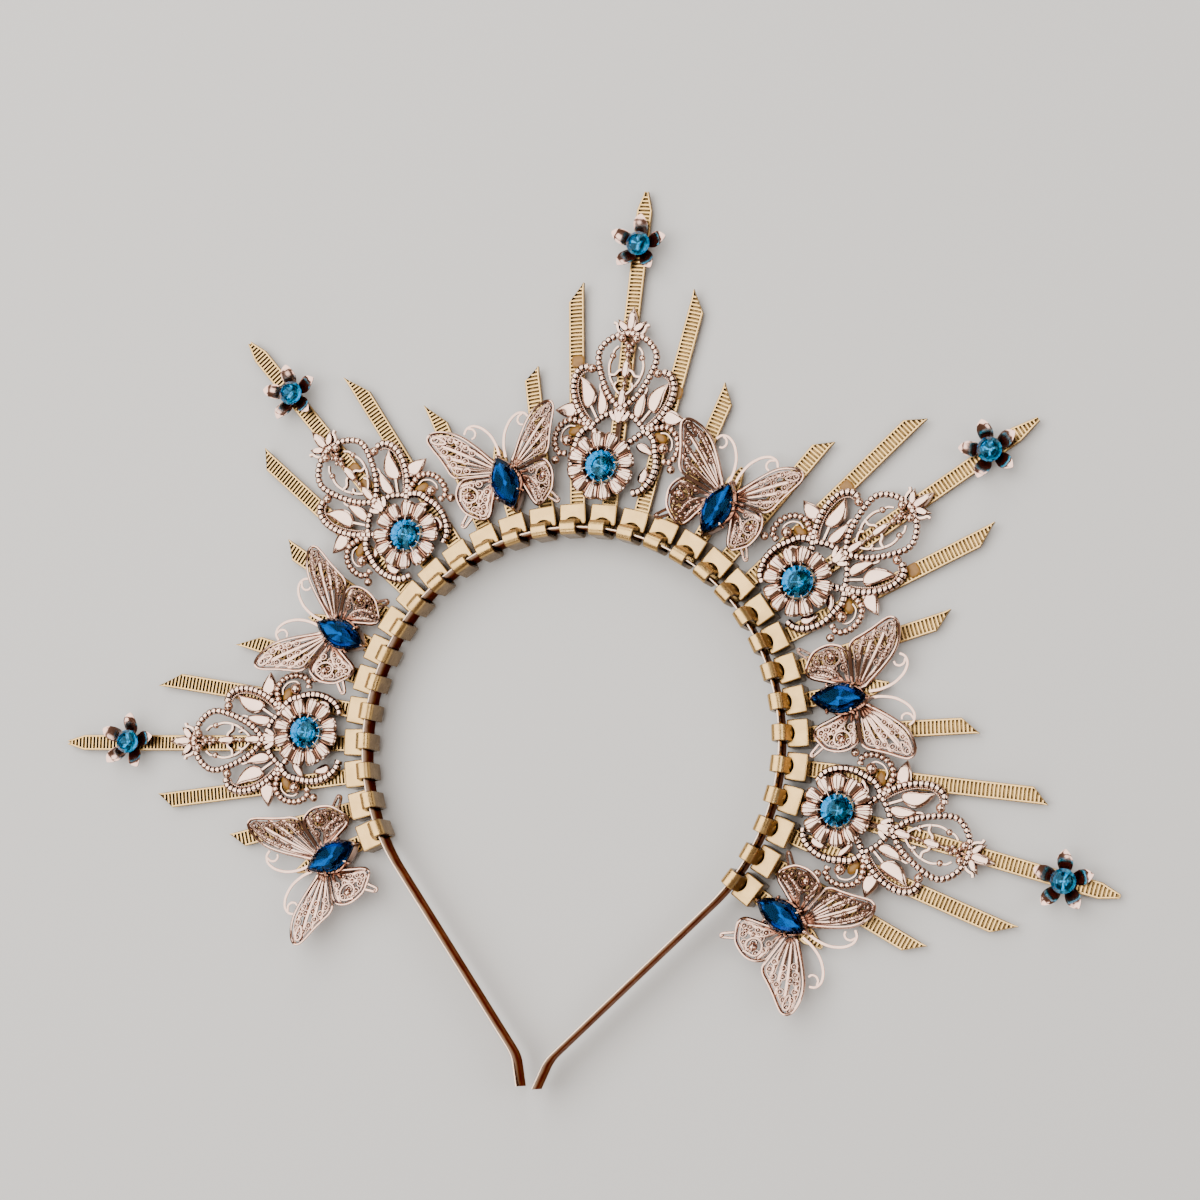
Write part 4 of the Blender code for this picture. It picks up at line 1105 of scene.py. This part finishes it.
def inset(outline, distance):
    """Return a clockwise outline drawn again, this far inside itself."""
    path = curve_through(outline, 3, closed=True)
    ahead = np.roll(path, -1, 0) - np.roll(path, 1, 0)
    side = np.column_stack((ahead[:, 1], -ahead[:, 0])) / np.linalg.norm(ahead, axis=1)[:, None]
    return [tuple(point) for point in path[:, :2] + side * distance]


print("points on a forewing's inset:", len(inset(forewing, 1.0)))

# %% Antennae, edge wires and ribs
FEELER_LEVEL = 1.2
EDGE_WIRE, EDGE_LEVEL = 0.45, 0.72
INNER_WIRE, INNER_LEVEL, INNER_INSET = 0.26, 0.62, 0.95
RIB_THIN, RIB_SWELL, RIB_LEVEL = 0.3, 0.35, 0.3
feelers = both_sides(joined([tapered(antenna, 0.44, 0.36, FEELER_LEVEL),
                             tapered(curl, 0.36, 0.3, FEELER_LEVEL)]))
wing = [flat_wire(teardrop, 0.7, 0.9, closed=True), flat_wire(swirl, 0.75, 0.8),
        flat_wire(tail, 0.75, 0.6), ball(11.2, -0.7, 1.15, 0.8), ball(14.2, -8.9, 0.45, 0.75)]
for outline in (forewing, hindwing):
    wing += [wire(outline, EDGE_WIRE, EDGE_LEVEL, closed=True),
             wire(inset(outline, INNER_INSET), INNER_WIRE, INNER_LEVEL, closed=True, sides=6)]
rib_section = np.array(((-1, 0), (1, 0), (1, 0.8), (0.5, 1.0), (-0.5, 1.0), (-1, 0.8)))
for rib in fore_ribs + hind_ribs:
    path = curve_through(rib, 6) + (0, 0, RIB_LEVEL)
    widths = RIB_THIN + RIB_SWELL * np.sin(np.linspace(0.1, math.pi - 0.3, len(path)))
    wing.append(swept(path, rib_section, widths))
print("wires and ribs in a wing:", len(wing))

# %% [markdown]
# ### Lace between the ribs
# Between its edge and its ribs the real wing is full of small rings with a dot in each. One row of
# them follows the edge, and the rest stand on a slanted lattice. Where the wing meets the body the
# ribs run together and leave no room for any, so spots near the root are left out.


# %% Rings, and what lies inside an outline
def flat_ring(across, along, radius, width):
    """Return a small flat cast ring."""
    turns = np.linspace(0, math.tau, 10, endpoint=False)
    path = np.array([(across + radius * math.sin(turn), along + radius * math.cos(turn), 0)
                     for turn in turns])
    half = width / 2
    section = np.array(((-half, 0.3), (half, 0.3), (half, 0.8), (half * 0.5, 0.95),
                        (-half * 0.5, 0.95), (-half, 0.8)))
    return swept(path, section, closed=True)


def inside(outline, across, along):
    """Say whether a point lies within a closed outline, by counting the edges it crosses."""
    hit = False
    for (x0, y0), (x1, y1) in zip(outline, outline[1:] + outline[:1]):
        if (y0 > along) != (y1 > along) and across < (x1 - x0) * (along - y0) / (y1 - y0) + x0:
            hit = not hit
    return hit


print("is the middle of a square inside it?", inside([(0, 0), (0, 2), (2, 2), (2, 0)], 1, 1))

# %% Where the rings stand
LACE_PITCH = 2.3
ROW_PITCH = LACE_PITCH * 0.87
LACE_SLANT = math.radians(48)
MARGIN_INSET, FIELD_INSET = 1.9, 3.3
WING_ROOT = (3, 4)
lace_axis = np.array((math.sin(LACE_SLANT), math.cos(LACE_SLANT)))
lace_side = np.array((lace_axis[1], -lace_axis[0]))
lattice = [lace_axis * (column + row % 2 / 2) * LACE_PITCH + lace_side * row * ROW_PITCH
           for row in range(-12, 13) for column in range(-6, 12)]
spots = []
for outline, root_gap in ((forewing, 7.5), (hindwing, 5.2)):
    margin = np.array([(*spot, 0) for spot in inset(outline, MARGIN_INSET)])
    field = inset(outline, FIELD_INSET)
    in_wing = [*spaced(margin, LACE_PITCH, closed=True)[:, :2],
               *[spot for spot in lattice if inside(field, *spot)]]
    spots += [spot for spot in in_wing if math.dist(spot, WING_ROOT) > root_gap]
print("rings in a pair of wings:", len(spots))

# %% The lace, and both wings lifted
RING_RADIUS, RING_WIDTH = 0.85, 0.42
DOT_RADIUS, DOT_LEVEL = 0.5, 0.85
SMALL_DOT_RADIUS, SMALL_DOT_LEVEL, SMALL_DOT_SHIFT = 0.36, 0.8, 0.9
WING_BEND = 20.0
FLAT_HALF_WIDTH = 3
for order, (across, along) in enumerate(spots):
    wing += [flat_ring(across, along, RING_RADIUS, RING_WIDTH),
             ball(across, along, DOT_RADIUS, DOT_LEVEL)]
    if order % 2:
        wing.append(ball(across + SMALL_DOT_SHIFT, along + SMALL_DOT_SHIFT, SMALL_DOT_RADIUS,
                         SMALL_DOT_LEVEL))
wings = both_sides(joined(wing))
past_body = np.maximum(0, np.abs(wings[0][:, 0]) - FLAT_HALF_WIDTH)
wings[0][:, 2] += past_body * math.tan(math.radians(WING_BEND))
wings_mesh = mesh_of("wings", [(joined([wings, feelers]), plated_lace)])
print("wing faces:", len(wings_mesh.polygons))

# %% [markdown]
# ### The setting and its stone
# The body of the butterfly is a rimmed cup in the shape of a boat, with six claws bent over the
# stone. The stone's table is cut narrower than its outline, as on the real ones, so it gets a
# ring of its own, and the rest is cut like the round stones.

# %% Setting and boat-shaped stone
NAVETTE_LENGTH, NAVETTE_WIDTH, SETTING_RIM = 16.0, 8.0, 0.5
TABLE_WIDTH_SHARE, TABLE_LENGTH_SHARE, TABLE_LEVEL = 0.56, 0.68, 6.1
CLAW_RADIUS = 0.34
# across, along and turn of each claw
CLAWS = ((0, 7.9, 0), (0, -7.9, 180), (3.3, 3.4, 62), (-3.3, 3.4, -62), (3.3, -3.4, 118),
         (-3.3, -3.4, -118))


def boat(length, width, steps):
    """Return the outline of a boat shape with its points along Y."""
    turns = np.linspace(0, math.tau, steps, endpoint=False)
    return [(width / 2 * math.sin(turn) * abs(math.sin(turn)), length / 2 * math.cos(turn))
            for turn in turns]


outer = boat(NAVETTE_LENGTH + 2 * SETTING_RIM, NAVETTE_WIDTH + 2 * SETTING_RIM, 48)
cup = loft(cut_rings(outer, ((0.02, 0.8), (0.0, 0.94), (0.5, 1), (1.8, 1), (3.6, 0.95),
                             (3.75, 0.94), (3.7, 0.91), (2.6, 0.86), (2.4, 0.7))))
hook = curve_through(((0, 0.7, 1.8), (0, 0.65, 3.2), (0, 0.05, 4.4), (0, -0.6, 4.7)), 4)
claw = swept(hook, circle(CLAW_RADIUS))
claws = [moved(claw, (across, along, 0), turn) for across, along, turn in CLAWS]
setting_mesh = mesh_of("setting", [(joined([cup] + claws), plated_zinc)])
hull = boat(NAVETTE_LENGTH, NAVETTE_WIDTH, 20)
table = [(across * TABLE_WIDTH_SHARE, along * TABLE_LENGTH_SHARE, TABLE_LEVEL)
         for across, along in hull]
navette_cut = [table] + cut_rings(hull, ((5.45, 0.84), (4.5, 1), (4.2, 1), (3.6, 0.7),
                                         (2.95, 0.12)))
navette_mesh = cut_stone(navette_cut, blue_glass, blue_foil, "navette stone")

# %% Place the butterflies
# tie: outward and sideways shift as shares of a wing's length and span, turn, and the stone's turn
BUTTERFLIES = {
    1: (0.04, -0.055, -1.4, -3.0), 7: (0.03, -0.03, 1.0, 0.0), 13: (0.035, 0.055, 3.3, -7.0),
    19: (0.015, 0.045, -4.9, 3.0), 25: (0.02, 0.09, 2.3, 7.0), 31: (0.0, -0.01, 1.5, -7.0),
}
WING_LENGTH, WING_SPAN = 19.6, 20.0
BUTTERFLY_SEAT = HEAD_FACE + CLEARANCE + NAVETTE_LENGTH / 2 + SETTING_RIM
for order, (number, (out, shift, turn, stone_turn)) in enumerate(BUTTERFLIES.items(), 1):
    place = seat(number, BUTTERFLY_SEAT + out * WING_LENGTH, shift * WING_SPAN, turn,
                 ORNAMENT_LEVEL)
    add_piece(f"lace_wings_{order}", wings_mesh, "casting", place, f"butterfly_{order}")
    twist = Matrix.Rotation(math.radians(-stone_turn), 4, "Z")
    add_piece(f"boat_setting_{order}", setting_mesh, "casting", place @ twist)
    add_piece(f"blue_stone_{order}", navette_mesh, "navette", place @ twist,
              f"navette_stone_{order}")
print("butterflies placed:", order)

# %% [markdown]
# ## Floor, light and world
# The crown lies on its back on a plain pale floor. Jewellery is lit with large soft panels: metal
# only shows what it mirrors, so each panel becomes a highlight and the dim room between them gives
# the dark lines. The main panel is up and to the left, as the shadows in the photo say.

# %% Floor
# half a side, in metres: wide enough that its edge is out of sight in a low view from behind
FLOOR_HALF = 6.0
floor_mesh = bpy.data.meshes.new("floor")
floor_mesh.from_pydata([(-FLOOR_HALF, -FLOOR_HALF, 0), (FLOOR_HALF, -FLOOR_HALF, 0),
                        (FLOOR_HALF, FLOOR_HALF, 0), (-FLOOR_HALF, FLOOR_HALF, 0)], [],
                       [(0, 1, 2, 3)])
floor_mesh.materials.append(blank_material("pale card", {
    "Base Color": linear("#E4E1DC"), "Roughness": 0.8})[0])
floor = bpy.data.objects.new("floor", floor_mesh)
bpy.context.scene.collection.objects.link(floor)
print("floor side in metres:", 2 * FLOOR_HALF)

# %% Lights and world
# place and size of each panel in metres, and its power in watts; all aim at the crown's middle
PANELS = {"key panel": ((-0.36, 0.1, 0.95), 1.4, 21.0), "right panel": ((0.8, 0.1, 0.6), 0.5, 2.6),
          "top panel": ((-0.1, 0.95, 0.5), 0.5, 2.6), "low panel": ((-0.2, -0.95, 0.5), 0.45, 2.0)}
ROOM_COLOUR, ROOM_STRENGTH = "#A08470", 0.35
for name, (spot, size, power) in PANELS.items():
    panel = bpy.data.objects.new(name, bpy.data.lights.new(name, "AREA"))
    bpy.context.scene.collection.objects.link(panel)
    panel.data.size = size
    panel.data.energy = power
    panel.location = spot
    panel.rotation_euler = (-Vector(spot)).to_track_quat("-Z", "Y").to_euler()
world = bpy.data.worlds.new("studio")
bpy.context.scene.world = world
world.use_nodes = True
background = world.node_tree.nodes["Background"].inputs
background["Color"].default_value = linear(ROOM_COLOUR)
background["Strength"].default_value = ROOM_STRENGTH
print("panels:", ", ".join(PANELS))
